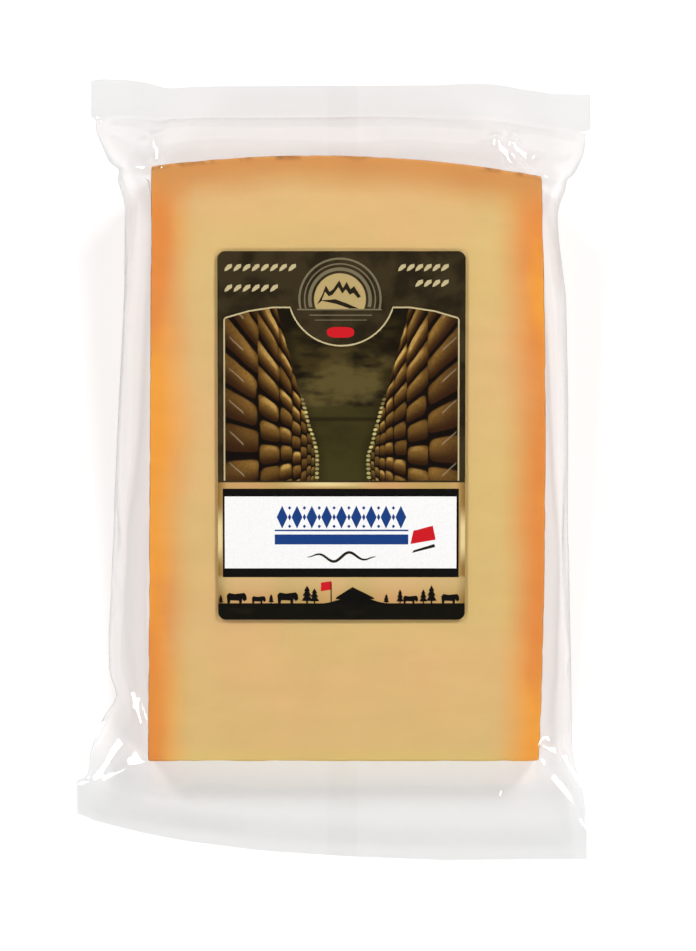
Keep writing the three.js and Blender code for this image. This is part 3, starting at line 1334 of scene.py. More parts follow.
    def _refine(self, grid: np.ndarray) -> np.ndarray:
        """Makes the grid finer in the welds and at the sides, and coarser over the wedge's faces.

        Args:
            grid: The cloth's grid.

        Returns:
            The refined grid.
        """
        share = self.weld / self.length
        rows = np.concatenate(
            (
                np.linspace(0, share, self.weld_rows, endpoint=False),
                np.linspace(share, 1 - share, self.body_rows, endpoint=False),
                np.linspace(1 - share, 1, self.weld_rows),
            )
        )
        grid = self._resample(grid, rows * (grid.shape[0] - 1))
        # Round the tube: one side, the front panel, the other side and the back panel.
        margin = self.side_margin / (self.girth / 2)
        fine = np.linspace(0, margin, self.side_columns, endpoint=False)
        coarse = np.linspace(margin, 1 - margin, self.panel_columns, endpoint=False)
        half = np.concatenate((fine, coarse, 1 - margin + fine))
        around = np.concatenate((half, 1 + half)) / 2 * grid.shape[1]
        # The curves need two columns on each side of the first and the last.
        padded = np.concatenate((grid[:, -2:], grid, grid[:, :3]), axis=1)
        return self._resample(padded.swapaxes(0, 1), around + 2).swapaxes(0, 1)

    def _calm(self, grid: np.ndarray) -> np.ndarray:
        """Smooths the slack film: fully over the slopes to the welds, and less beside the wedge.

        Args:
            grid: The refined grid.

        Returns:
            The smoother grid.
        """
        shape = self.shape
        calmed = grid.copy()
        x, y = grid[..., 0], grid[..., 1]
        beside = np.maximum(shape.left(y) - x, x - shape.right(y))
        beyond = np.maximum(y - shape.heel(x), shape.low.y - y)
        free = np.maximum(
            np.clip((beyond - self.calm_start) / self.calm_depth, 0, 1),
            np.clip((beside - self.calm_start) / self.calm_depth, 0, self.calm_beside),
        )
        free[: self.weld_rows] = 0
        free[-self.weld_rows :] = 0
        free = free[..., None] * self.calm_step
        for _ in range(self.calm_rounds):
            along = (np.roll(calmed, 1, axis=0) + np.roll(calmed, -1, axis=0)) / 2
            across = (np.roll(calmed, 1, axis=1) + np.roll(calmed, -1, axis=1)) / 2
            wanted = along * self.calm_along + across * (1 - self.calm_along)
            calmed += (wanted - calmed) * free
        return calmed

    def _fit_sides(self, grid: np.ndarray) -> np.ndarray:
        """Eases the slack at the sides in or out, so that the folds lie on their outlines.

        Args:
            grid: The smoothed grid.

        Returns:
            The fitted grid.
        """
        x, y = grid[..., 0], grid[..., 1]
        shape = self.shape
        places = np.linspace(*self.fold_range, self.fold_places) * MM
        fitted = x.copy()
        sides = ((-1, self.left_outline, shape.left), (1, self.right_outline, shape.right))
        for sign, outline, rind in sides:
            reach = np.array([(sign * x[np.abs(y - p) < self.fold_window]).max() for p in places])
            edge = sign * rind(np.clip(places, shape.low.y, shape.high.y))
            wanted = sign * read_outline(outline, places)
            ratio = (wanted - edge) / np.maximum(reach - edge, self.fold_least)
            ratio = np.convolve(np.pad(ratio, 1, "edge"), (0.25, 0.5, 0.25), "valid")
            edge = sign * rind(np.clip(y, shape.low.y, shape.high.y))
            beyond = sign * x - edge
            moved = sign * (edge + beyond * np.interp(y, places, ratio))
            fitted = np.where(beyond > 0, moved, fitted)
        cut_fade, heel_fade = self.fold_fade
        fade = np.clip((y - (self.cut_edge(x) + self.weld)) / cut_fade, 0, 1)
        fade = fade * np.clip((self.heel_edge(x) - self.weld - y) / heel_fade, 0, 1)
        result = grid.copy()
        result[..., 0] = x + (fitted - x) * fade
        return result

    def _press(self, grid: np.ndarray) -> np.ndarray:
        """Presses the creases and the welds' slow waves into the film.

        Args:
            grid: The fitted grid.

        Returns:
            The pressed grid.
        """
        pressed = grid.copy()
        x, y = grid[..., 0], grid[..., 1]
        front = np.arange(grid.shape[1]) < grid.shape[1] / 2
        # The height of the back film under each point of the front.
        back = np.roll(grid[:, ::-1, 2], 1, axis=1)
        for crease in self.creases:
            start, end = np.array(crease.start) * MM, np.array(crease.end) * MM
            line, middle = end - start, (start + end) / 2
            share = ((x - start[0]) * line[0] + (y - start[1]) * line[1]) / (line @ line)
            near = np.clip(share, 0, 1)
            away = np.hypot(x - start[0] - near * line[0], y - start[1] - near * line[1])
            hold = np.clip(1 - (away - crease.width / 2 * MM) / self.crease_blend, 0, 1)
            hold = np.where(front, hold * hold * (3 - 2 * hold), 0)
            place = Vector((*middle, self.heel_end.inner_height))
            rise_x, rise_y = self.studio.glint_slope(place)
            facet = (x - middle[0]) * rise_x + (y - middle[1]) * rise_y
            level = np.average(pressed[..., 2] - facet, weights=hold + 1e-12)
            lowest = back + self.crease_clearance
            pressed[..., 2] += (np.maximum(facet + level, lowest) - pressed[..., 2]) * hold
        long, short = self.wave_lengths
        reaches = ((self.cut_end, y - self.cut_edge(x)), (self.heel_end, self.heel_edge(x) - y))
        for end, into in reaches:
            near = np.clip(1 - (into - self.weld) / self.wave_reach, 0, 1)
            short_wave = self.short_wave_share * np.sin(x / short + 2 * end.wave_phase)
            wave = np.sin(x / long + end.wave_phase) + short_wave
            pressed[..., 2] += wave * end.wave_height * near**2 * (3 - 2 * near)
        return pressed

    def _fin(self, web: np.ndarray) -> bpy.types.Object:
        """Returns the back seam's fin: the web's two long edges, welded together and laid flat.

        Args:
            web: The finished film's grid, whose back the fin follows.

        Returns:
            The fin, from one trimmed edge to the other.
        """
        back = web[:, web.shape[1] // 2 :][:, ::-1]
        near = np.abs(back[0, :, 0]) < 4 * self.fin_width
        deselect_all()
        bpy.ops.mesh.primitive_grid_add(
            x_subdivisions=self.fin_columns, y_subdivisions=self.body_rows, size=1
        )
        piece = bpy.context.object
        unit = points_of(piece.data) + 0.5
        row = unit[:, 1] * (len(back) - 1)
        column = unit[:, 0].round(3)
        points = np.zeros_like(unit)
        for share in np.unique(column):
            x = self.fin_start + share * self.fin_width
            line = np.array(
                [[np.interp(x, strip[near, 0], strip[near, axis]) for axis in (1, 2)] for strip in back]
            )
            rise = np.gradient(line[:, 1], line[:, 0])
            steep = np.sqrt(1 + rise**2)
            line += np.column_stack((rise / steep, -1 / steep)) * self.fin_drop
            here = column == share
            points[here, 0] = x
            for axis in (0, 1):
                points[here, axis + 1] = np.interp(row[here], np.arange(len(back)), line[:, axis])
        set_points(piece.data, points)
        return piece

    def _finish(
        self, piece: bpy.types.Object, thickness: float, film: bpy.types.Material
    ) -> bpy.types.Object:
        """Gives a sheet its reach from the trimmed edges, its thickness and its finish.

        Args:
            piece: The sheet, without thickness.
            thickness: Its thickness.
            film: Its material.

        Returns:
            The same sheet, finished.
        """
        points = points_of(piece.data)
        from_cut = points[:, 1] - self.cut_edge(points[:, 0])
        from_heel = self.heel_edge(points[:, 0]) - points[:, 1]
        reach = piece.data.attributes.new(FilmFinish.weld_reach, "FLOAT", "POINT")
        reach.data.foreach_set("value", np.minimum(from_cut, from_heel))
        wall = piece.modifiers.new("wall", "SOLIDIFY")
        wall.thickness = thickness
        wall.offset = 0
        apply_modifiers(piece)
        smooth(piece, degrees=60)
        piece.data.materials.append(film)
        return piece

    def build(self) -> tuple[bpy.types.Object, bpy.types.Object]:
        """Returns the finished film.

        Returns:
            The tube and its fin.
        """
        grid, held = self._start()
        grid = self._relax(grid, held)
        grid = self._press(self._fit_sides(self._calm(self._refine(grid))))
        film = FilmFinish("clear_film", self.weld)
        # The fin is pressed flat against the back, so little light is lost between them.
        pressed = FilmFinish(
            "clear_film_pressed", self.weld, welded=film.clear, straight_on=self.fin_mirror
        )
        tube = self._finish(self._tube("film_web", grid), self.thickness, film.build())
        return tube, self._finish(self._fin(grid), self.fin_thickness, pressed.build())


# ---------------------------------------------------------------------------------------------
# The label
# ---------------------------------------------------------------------------------------------


@dataclass(frozen=True)
class Varnish:
    """The satin varnish over the print."""

    sheen_seed: int
    grain_seed: int
    sheen_size: float = 2 * MM
    smoothest: float = 0.3
    unevenness: float = 0.15
    grain_size: float = 0.35 * MM
    grain_depth: float = 0.01 * MM
    mirroring: float = 0.2

    def over(self, r: Recipe, colour: Signal) -> bpy.types.Material:
        """Finishes a printed material.

        Args:
            r: The material's recipe.
            colour: The print's colour.

        Returns:
            The material.
        """
        sheen = r.grain(self.sheen_size, 2, seed=self.sheen_seed)
        return r.surface(
            Base_Color=colour,
            Roughness=sheen * self.unevenness + self.smoothest,
            Normal=r.bump(r.grain(self.grain_size, 2, seed=self.grain_seed), self.grain_depth),
            Specular_IOR_Level=self.mirroring,
        )


class Ink(Enum):
    """The plain printed colours."""

    CREAM = ("cream_ink", srgb(196, 180, 136))
    GOLD = ("gold_ink", srgb(186, 162, 108))
    GREY = ("grey_ink", srgb(120, 110, 84))
    DARK = ("dark_ink", srgb(36, 28, 14))
    BLACK = ("black_ink", srgb(7, 5, 3))
    WHITE = ("white_ink", srgb(249, 248, 247))
    BLUE = ("blue_ink", srgb(24, 62, 128))
    RED = ("red_ink", srgb(206, 24, 34))

    def build(self) -> bpy.types.Material:
        """Returns the ink's material, which is a little thinner in places.

        Returns:
            The material, made the first time only.
        """
        name, colour = self.value
        found = bpy.data.materials.get(name)
        if found:
            return found
        r = Recipe(name)
        thin = tuple(0.94 * channel + 0.002 for channel in colour)
        printed = r.mix(r.grain(0.5 * MM, 2, seed=31).rise(0.35, 0.75), colour, thin)
        return Varnish(37, 41).over(r, printed)


@dataclass(frozen=True)
class LabelPlane:
    """The label's front face, with its own millimetres across and up from its middle."""

    low: Vector
    high: Vector
    tilt: float
    thickness: float = 0.25 * MM

    @property
    def middle(self) -> Vector:
        """The middle of the front face."""
        out = Vector((0, -math.sin(self.tilt), math.cos(self.tilt)))
        return (self.low + self.high) / 2 + out * (self.thickness / 2)

    def placing(self, lift: float) -> Matrix:
        """Returns the placing of a flat thing at a height above the front face."""
        turn = Matrix.Rotation(self.tilt, 4, "X")
        return Matrix.Translation(self.middle) @ turn @ Matrix.Translation((0, 0, lift))

    def axes(self, recipe: Recipe) -> tuple[Signal, Signal]:
        """Returns a material's place on the label.

        Args:
            recipe: The material's recipe.

        Returns:
            The millimetres across and up from the middle.
        """
        across = (recipe.x - self.middle.x) * (1 / MM)
        up = (recipe.y - self.middle.y) * (1 / (MM * math.cos(self.tilt)))
        return across, up


@dataclass(frozen=True)
class StockFinish:
    """The label's ground: a dark stone tone at the top, gold in the middle and black at the foot.

    Its places are in the label's millimetres.
    """

    plane: LabelPlane
    stone: Colour = srgb(57, 46, 26)
    stone_dark: Colour = srgb(36, 28, 12)
    gold: Colour = srgb(186, 154, 92)
    gold_light: Colour = srgb(230, 206, 148)
    gold_deep: Colour = srgb(140, 106, 52)
    gold_rose: Colour = srgb(204, 158, 104)
    foot: Colour = srgb(14, 11, 3)
    foot_worn: Colour = srgb(34, 32, 18)
    gold_top: float = -12.5
    foot_top: float = -45.3
    edge_soft: float = 0.1
    deep_sides: Pair = (30.5, 33.3)
    strip_top: float = -12.9
    strip_middle: float = -4.0
    strip_reach: float = 16.0
    side_strip: Pair = (31.6, 32.4)
    side_strip_middle: float = -27.0
    side_strip_fade: Pair = (2, 9)
    sky_bottom: float = -41.5
    sky_top: float = -39.0

    def build(self) -> bpy.types.Material:
        """Returns the ground's material.

        Returns:
            The material.
        """
        r = Recipe("label_ground")
        across, up = self.plane.axes(r)
        soft = self.edge_soft
        stone = r.mix(r.grain(7 * MM, 4, seed=43).rise(0.4, 0.65), self.stone, self.stone_dark)
        colour = r.mix((up - self.gold_top).rise(-soft, soft), self._gold(r, across, up), stone)
        worn = r.grain(4 * MM, 3, (3, 1, 1), seed=53).rise(0.55, 0.8)
        foot = r.mix(worn, self.foot, self.foot_worn)
        return Varnish(59, 61).over(r, r.mix((up - self.foot_top).rise(soft, -soft), colour, foot))

    def _gold(self, r: Recipe, across: Signal, up: Signal) -> Signal:
        """Returns the colour of the gold area.

        Args:
            r: The material's recipe.
            across: The place across the label.
            up: The place up it.

        Returns:
            The gold, with light strips at its top and its sides and a pale sky over the foot.
        """
        side = abs(across)
        rose = r.grain(13 * MM, 1, (1, 2, 1), seed=47).rise(0.35, 0.65)
        gold = r.mix(rose, self.gold, self.gold_rose)
        gold = r.mix(side.rise(*self.deep_sides), gold, self.gold_deep)
        strip = 1 - abs(across - self.strip_middle).rise(0, self.strip_reach)
        strip = strip * (up - self.strip_top).rise(-1.2, -0.2)
        side_strip = 1 - abs(up - self.side_strip_middle).rise(*self.side_strip_fade)
        side_strip = side_strip * side.rise(*self.side_strip)
        gold = r.mix(strip.most(side_strip), gold, self.gold_light)
        sky = (up - self.sky_bottom).rise(-3.5, 2.5) * (1 - (up - self.sky_top).rise(0.5, 1.5))
        return r.mix(sky * 0.35, gold, self.gold_light)


@dataclass(frozen=True)
class CellarFinish:
    """The picture: a rock passage between two racks of ripening wheels.

    The racks' shelves and uprights run to one vanishing point, so a place's row is its height over
    its distance across, and its column is one over that distance. All places are in the label's
    millimetres, and a wheel's own are in shares of its cell, from the cell's middle.
    """

    plane: LabelPlane
    vanishing: Point = (0.4, -5.0)
    passage: float = 7.2
    passage_spread: float = 0.27
    passage_ripple: float = 0.9
    row_pitch: float = 0.31
    column_pitch: float = 0.0146
    wheel_seat: float = 0.05
    # How hard a wheel closes in at its sides, at its sides in the upper rows, and at its top.
    wheel_sides: float = 16.0
    wheel_sides_above: float = 5.0
    wheel_top: float = 26.0
    slat_pitch: float = 8.5
    slat_slope: float = 0.9
    slat_column: float = 28.6
    beads_per_mm: float = 0.85
    bead_inset: float = 0.3
    bead_top: float = 10.0
    cave_middle: float = 14.0
    cave_foot: float = 8.0
    ledge: float = 4.6
    wheel_light: Colour = srgb(208, 168, 92)
    wheel: Colour = srgb(150, 110, 48)
    wheel_shade: Colour = srgb(48, 25, 5)
    wheel_far: Colour = srgb(74, 62, 28)
    wheel_near: Colour = srgb(88, 50, 26)
    gap: Colour = srgb(13, 5, 1)
    slat: Colour = srgb(176, 156, 122)
    rock_light: Colour = srgb(98, 84, 44)
    rock: Colour = srgb(58, 47, 18)
    rock_dark: Colour = srgb(22, 15, 3)
    rock_far: Colour = srgb(58, 52, 20)
    moss: Colour = srgb(64, 60, 22)
    bead: Colour = srgb(216, 200, 128)

    def build(self) -> bpy.types.Material:
        """Returns the picture's material.

        Returns:
            The material.
        """
        r = Recipe("cellar_picture")
        across, up = self.plane.axes(r)
        ripple = (r.grain(5 * MM, 2, seed=67) - 0.5) * self.passage_ripple
        out = abs(across - self.vanishing[0]) + ripple
        rise = up - self.vanishing[1]
        edge = (rise * self.passage_spread).most(0) + self.passage
        in_racks = (out - edge).rise(-0.25, 0.25)
        colour = r.mix(in_racks, self._rock(r, out, up, edge), self._racks(r, across, out, rise))
        colour = r.mix(self._beads(r, out, up, edge), colour, self.bead)
        # The picture darkens to its sides and its top.
        dark = (abs(across).rise(24, 32) * 0.45).most((up - 33).rise(-3, 3) * 0.35)
        return Varnish(71, 73).over(r, r.mix(dark, colour, self.gap))

    def _beads(self, r: Recipe, out: Signal, up: Signal, edge: Signal) -> Signal:
        """Returns where the two strings of pale beads along the passage are.

        Args:
            r: The material's recipe.
            out: The distance across from the vanishing point.
            up: The place up the label.
            edge: The passage's half width at that height.

        Returns:
            How much of the beads' colour each place has.
        """
        place = up * self.beads_per_mm
        apart = abs(out - edge + self.bead_inset).power(2) * 2.4 + (place.part() - 0.5).power(2) * 5
        lit = r.chance(place.whole(), out * 0) * 0.7 + 0.3
        return apart.rise(0.9, 0.25) * (up - self.bead_top).rise(1.5, -1.5) * lit * 0.9

    def _racks(self, r: Recipe, across: Signal, out: Signal, rise: Signal) -> Signal:
        """Returns the colour of the two racks of wheels.

        Args:
            r: The material's recipe.
            across: The place across the label.
            out: The distance across from the vanishing point.
            rise: The height over it.

        Returns:
            The colour.
        """
        column_place = 1 / (out * self.column_pitch)
        column = column_place.whole()
        right = (across - self.vanishing[0]).rise(-0.01, 0.01)
        row_place = rise / (out * self.row_pitch) + r.chance(column, right * 7) * 0.8
        row = row_place.whole()
        cell = r.chance(column + right * 31, row)
        shift = r.chance(row, column * 3 + right) - 0.5
        aside = column_place.part() - 0.5 + shift * 0.12
        height = row_place.part() - 0.5 + (cell - 0.5) * 0.1
        # A wheel seen from its side: a rounded block with a gap and a shelf's shadow below it.
        seated = height - self.wheel_seat
        sides = self.wheel_sides - rise.rise(14, 24) * (self.wheel_sides - self.wheel_sides_above)
        corner = (aside.power(4) * sides + seated.power(4) * self.wheel_top).rise(1.05, 0.6)
        body = corner * abs(seated).rise(0.46, 0.36)
        roundness = (aside.power(2) + seated.power(2)).rise(0.34, 0.1)
        lit = (height * 1.3 + 0.5).rise(0.1, 1.0) * (0.5 + cell * 0.6) * (0.4 + roundness * 0.6)
        # The upper rows stand nearer to the lamps.
        lit = lit * (0.84 + rise.rise(6, 36) * 0.36)
        tone = r.mix(lit, self.wheel_shade, self.wheel)
        tone = r.mix(lit.rise(0.55, 1.0) * out.rise(27, 14), tone, self.wheel_light)
        tone = r.mix(out.rise(11.5, 7.5) * 0.6, tone, self.wheel_far)
        tone = r.mix(out.rise(21, 31) * 0.35, tone, self.wheel_near)
        speckle = r.grain(0.8 * MM, 3, seed=79).rise(0.3, 0.8)
        tone = r.mix(speckle * 0.3, tone, self.wheel_shade)
        tone = r.mix(body, self.gap, tone)
        # Pale slats jut out between the outer wheels.
        slat_place = (rise - out * self.slat_slope) / self.slat_pitch
        slat = abs(slat_place.part() - 0.5).rise(0.045, 0.015)
        slat = slat * abs(out - self.slat_column).rise(2.2, 1.6)
        return r.mix(slat * 0.6, tone, self.slat)

    def _rock(self, r: Recipe, out: Signal, up: Signal, edge: Signal) -> Signal:
        """Returns the colour of the rock passage between the racks.

        Args:
            r: The material's recipe.
            out: The distance across from the vanishing point.
            up: The place up the label.
            edge: The passage's half width at that height.

        Returns:
            The colour.
        """
        strata = r.grain(3.4 * MM, 4, (2.6, 1, 1), seed=83)
        lump = r.grain(6 * MM, 3, (1.8, 1, 1), seed=89)
        rock = r.mix(strata.rise(0.38, 0.66), self.rock_dark, self.rock)
        light = lump.rise(0.4, 0.62) * (1 - abs(up - self.cave_middle).rise(3, 12))
        rock = r.mix(light * 0.8, rock, self.rock_light)
        rock = r.mix((up - self.cave_foot).rise(0.5, -0.5) * 0.75, rock, self.rock_far)
        rock = r.mix(abs(up - self.ledge).rise(0.9, 0.2) * 0.6, rock, self.rock_dark)
        rock = r.mix(up.rise(0, -11) * 0.6, rock, self.moss)
        return r.mix((out - edge).rise(-3.5, 0) * 0.5 + up.rise(20, 33) * 0.5, rock, self.rock_dark)


@dataclass(frozen=True)
class LeafRow:
    """One row of leaf shapes: where it starts, how many leaves it has and how far apart."""

    start: Point
    count: int
    pitch: float


@dataclass
class FrontLabel:
    """The printed label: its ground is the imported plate, and the print lies on it in thin layers.

    Its outlines are in the label's millimetres, and those of a leaf, a fir and a cow start at its
    own foot. Each fir is given by its place, height and half width, and each cow by its place and
    size. A box is given by two corners, a ring by its radius, its width and the lift of its flat
    foot, and a small lozenge by its lift and half height.
    """

    plane: LabelPlane
    film: float = 0.02 * MM
    arch_radius: float = 14.4
    arch_middle: Point = (0.0, 38.8)
    arch_left: Outline = (
        (-31.5, -12.0), (-31.5, 31.4), (-31.2, 31.9), (-25.0, 33.7), (-18.4, 34.7),
    )
    medallion: Point = (-0.4, 36.9)
    disc_radius: float = 6.95
    flat_cut: float = 34.2
    rings: tuple[tuple[float, float, float], ...] = ((10.9, 0.55, 0), (9.5, 0.35, 0), (8.1, 0.9, 0.6))
    ring_feet: tuple[Box, ...] = (
        ((-11.9, 33.95), (10.8, 34.3)), ((-8.6, 32.5), (8.2, 32.75)), ((-7.2, 31.2), (6.8, 31.4)),
    )
    peaks: Outline = (
        (-6.6, 35.4), (-5.2, 38.0), (-4.2, 40.6), (-3.2, 38.9), (-2.2, 39.6), (-0.6, 42.0), (0.4, 39.9),
        (1.4, 41.6), (2.4, 39.6), (3.4, 40.4), (5.2, 37.6), (4.4, 37.2), (3.2, 38.6), (2.2, 38.1),
        (1.2, 39.6), (0.2, 38.4), (-0.8, 40.2), (-2.4, 38.1), (-3.4, 37.7), (-4.4, 38.9), (-5.4, 36.4),
    )
    slope: Outline = ((-5.8, 36.6), (-1.6, 36.9), (1.6, 35.7), (4.6, 34.4), (2.2, 34.4), (-1.2, 35.6))
    leaf: Outline = ((0, -0.9), (0.75, -0.7), (2.05, 0.2), (2.05, 1.1), (0.9, 0.85), (0.15, -0.1))
    leaf_rows: tuple[LeafRow, ...] = (
        LeafRow((-31.4, 45.3), 8, 2.45),
        LeafRow((-31.4, 39.8), 6, 2.45),
        LeafRow((15.2, 45.3), 6, 2.3),
        LeafRow((19.8, 41.1), 4, 2.3),
    )
    frame_width: float = 0.42
    oval_middle: Point = (-0.25, 28.0)
    oval_size: Pair = (3.7, 1.45)
    black_panel: Box = ((-32.0, -38.2), (31.6, -14.2))
    white_panel: Box = ((-31.5, -35.8), (31.0, -16.3))
    frieze_up: float = -21.9
    frieze_count: int = 9
    frieze_pitch: float = 4.0
    frieze_lozenge: Pair = (1.45, 3.1)
    frieze_small_width: float = 0.45
    frieze_small: tuple[Pair, ...] = ((0, 0.95), (-2.5, 0.5), (2.5, 0.5))
    frieze_bars: tuple[Box, ...] = (((-18.0, -29.3), (18.0, -26.6)), ((-18.0, -25.7), (18.0, -25.3)))
    flourish_up: float = -32.7
    flourish_reach: float = 9.3
    flourish_height: float = 1.3
    flourish_rate: float = 0.72
    flourish_width: float = 0.75
    seal: Outline = ((18.6, -29.2), (19.4, -25.6), (24.6, -24.2), (25.4, -28.0))
    seal_shadow: Outline = ((19.0, -31.6), (19.5, -30.9), (25.0, -29.2), (25.3, -30.0))
    flag: Outline = ((-5.6, -42.0), (-2.8, -41.6), (-2.8, -39.3), (-5.5, -39.7))
    flagpole: Box = ((-2.95, -45.0), (-2.65, -39.6))
    pasture: float = -45.4
    hill: Outline = (
        (-5.5, -45.5), (-3.0, -45.0), (0.0, -44.1), (7.5, -44.1), (10.0, -44.9), (13.0, -45.5),
    )
    roof: Outline = ((-1.6, -44.2), (-1.3, -43.6), (2.95, -40.9), (8.6, -43.7), (8.9, -44.2))
    fir: Outline = (
        (0.15, 0.0), (0.15, 0.14), (1.0, 0.16), (0.45, 0.42), (0.8, 0.44), (0.32, 0.68), (0.55, 0.7),
        (0, 1),
    )
    firs: tuple[tuple[float, float, float], ...] = (
        (-32.6, 2.4, 0.7), (-19.0, 2.6, 0.8), (-9.3, 4.9, 1.5), (-7.3, 4.2, 1.3), (12.1, 2.6, 0.8),
        (15.8, 3.9, 1.0), (22.1, 3.9, 1.1), (24.3, 5.0, 1.4),
    )
    cow: Outline = (
        (-2.4, 0.0), (-1.8, 0.0), (-1.6, 0.9), (0.7, 0.8), (0.8, 0.0), (1.4, 0.0), (1.6, 1.3),
        (2.1, 0.6), (2.8, 1.1), (2.7, 2.2), (2.2, 2.9), (1.3, 2.8), (-0.4, 2.6), (-2.0, 2.9),
        (-2.6, 2.2),
    )
    cows: tuple[Pair, ...] = ((-28.4, 1.0), (-22.4, 0.7), (-14.6, 1.05), (18.6, 0.75), (29.3, 0.9))

    def _lay(self, piece: bpy.types.Object, layer: int) -> bpy.types.Object:
        """Gives a flat face its thickness and lays it on the label.

        Args:
            piece: A flat mesh in the label's millimetres.
            layer: How many layers of print lie under it.

        Returns:
            The printed layer.
        """
        sunk = 0.5 * self.film
        thickness = (self.film + sunk) / MM
        with edit_mode(piece):
            bpy.ops.mesh.select_all(action="SELECT")
            bpy.ops.mesh.extrude_region_move(TRANSFORM_OT_translate={"value": (0, 0, thickness)})
            bpy.ops.mesh.select_all(action="SELECT")
            bpy.ops.mesh.normals_make_consistent(inside=False)
        piece.matrix_world = self.plane.placing(layer * self.film - sunk) @ Matrix.Scale(MM, 4)
        return piece

    def _patch(self, outline: Sequence[Point], layer: int) -> bpy.types.Object:
        """Prints a patch.

        Args:
            outline: Its corners, in order.
            layer: How many layers of print lie under it.

        Returns:
            The printed patch.
        """
        deselect_all()
        bpy.ops.mesh.primitive_circle_add(vertices=len(outline), fill_type="NGON")
        piece = bpy.context.object
        set_points(piece.data, np.array([(across, up, 0.0) for across, up in outline]))
        return self._lay(piece, layer)

    def _box(self, low: Point, high: Point, layer: int) -> bpy.types.Object:
        """Returns a printed rectangle between two corners."""
        return self._patch([low, (high[0], low[1]), high, (low[0], high[1])], layer)

    def _lozenge(self, middle: Point, wide: float, high: float, layer: int) -> bpy.types.Object:
        """Returns a printed lozenge with a half width and a half height."""
        x, y = middle
        return self._patch([(x - wide, y), (x, y - high), (x + wide, y), (x, y + high)], layer)

    def _oval(self, middle: Point, wide: float, high: float, layer: int) -> bpy.types.Object:
        """Prints an oval with blunt ends.

        Args:
            middle: Its middle.
            wide: Its half width.
            high: Its half height.
            layer: How many layers of print lie under it.

        Returns:
            The printed oval.
        """
        angles = np.linspace(0, 2 * math.pi, 40, endpoint=False)
        across, up = np.cos(angles), np.sin(angles)
        x = middle[0] + wide * np.copysign(np.abs(across) ** 0.6, across)
        y = middle[1] + high * np.copysign(np.abs(up) ** 0.8, up)
        return self._patch(list(zip(x, y)), layer)

    def _stroke(
        self, line: Sequence[Point], width: float, layer: int, taper: bool = False
    ) -> bpy.types.Object:
        """Prints a stroke along a line.

        Args:
            line: The points of its middle line.
            width: Its width in millimetres.
            layer: How many layers of print lie under it.
            taper: Whether it thins out to its ends.

        Returns:
            The printed stroke.
        """
        points = np.array(line, float)
        along = np.gradient(points, axis=0)
        along /= np.linalg.norm(along, axis=1)[:, None]
        aside = np.column_stack((-along[:, 1], along[:, 0]))
        half = np.full(len(points), width / 2)
        if taper:
            half *= np.sin(np.linspace(0, np.pi, len(points))) ** 0.7 * 0.9 + 0.1
        deselect_all()
        bpy.ops.mesh.primitive_grid_add(x_subdivisions=len(points) - 1, y_subdivisions=1, size=2)
        piece = bpy.context.object
        grid = points_of(piece.data)
        index = np.rint((grid[:, 0] + 1) / 2 * (len(points) - 1)).astype(int)
        offset = aside[index] * (half[index] * np.sign(grid[:, 1]))[:, None]
        set_points(piece.data, np.column_stack((points[index] + offset, np.zeros(len(grid)))))
        return self._lay(piece, layer)

    def _arc(self, middle: Point, radius: float, ends: Pair, steps: int) -> list[Point]:
        """Returns points on an arc between two angles in degrees."""
        angles = np.radians(np.linspace(*ends, steps))
        return [(middle[0] + radius * math.cos(a), middle[1] + radius * math.sin(a)) for a in angles]

    def _arch(self) -> list[Point]:
        """Returns the picture's outline.

        Returns:
            The points from its lower left corner to its lower right one.
        """
        drop = self.arch_middle[1] - self.arch_left[-1][1]
        dip = math.degrees(math.asin(drop / self.arch_radius))
        right = [(-across, up) for across, up in reversed(self.arch_left)]
        arc = self._arc(self.arch_middle, self.arch_radius, (180 + dip, 360 - dip), 40)
        return [*self.arch_left, *arc, *right]

    def _medallion_arc(self, radius: float, cut: float) -> list[Point]:
        """Returns an arc of the medallion from right to left, cut off flat at a height."""
        dip = math.degrees(math.asin((self.medallion[1] - cut) / radius))
        return self._arc(self.medallion, radius, (-dip, 180 + dip), 48)

    def _rings(self) -> list[bpy.types.Object]:
        """Returns the medallion's rings.

        Returns:
            The printed arcs and the bars at their foot.
        """
        arcs = [
            self._stroke(self._medallion_arc(radius, self.flat_cut + lift), width, 1)
            for radius, width, lift in self.rings
        ]
        return arcs + [self._box(*foot, 1) for foot in self.ring_feet]

    def _mountains(self) -> list[bpy.types.Object]:
        """Returns the medallion's line of peaks over a slope."""
        return [self._patch(self.peaks, 2), self._patch(self.slope, 2)]

    def _leaves(self) -> list[bpy.types.Object]:
        """Returns the rows of leaf shapes at the top corners.

        Returns:
            The printed leaves.
        """
        leaves = []
        for row in self.leaf_rows:
            for number in range(row.count):
                across, up = row.start[0] + row.pitch * number, row.start[1]
                leaves.append(self._patch([(across + x, up + y) for x, y in self.leaf], 1))
        return leaves

    def _frieze(self) -> list[bpy.types.Object]:
        """Returns the white panel's pattern of upright lozenges, and the plain bars under it.

        Returns:
            The printed bars and lozenges.
        """
        layers = [self._box(*bar, 3) for bar in self.frieze_bars]
        up, pitch, narrow = self.frieze_up, self.frieze_pitch, self.frieze_small_width
        for number in range(self.frieze_count):
            across = (number - (self.frieze_count - 1) / 2) * pitch
            layers.append(self._lozenge((across, up), *self.frieze_lozenge, 3))
            if number:
                for lift, high in self.frieze_small:
                    layers.append(self._lozenge((across - pitch / 2, up + lift), narrow, high, 3))
        return layers

    def _fir(self, across: float, height: float, wide: float) -> bpy.types.Object:
        """Prints a fir tree of three tiers.

        Args:
            across: Its place.
            height: Its height.
            wide: Its half width.

        Returns:
            The printed tree.
        """
        half = [(wide * x, self.pasture + height * y) for x, y in self.fir]
        right = [(across + x, y) for x, y in half]
        left = [(across - x, y) for x, y in reversed(half[:-1])]
        return self._patch(right + left, 1)

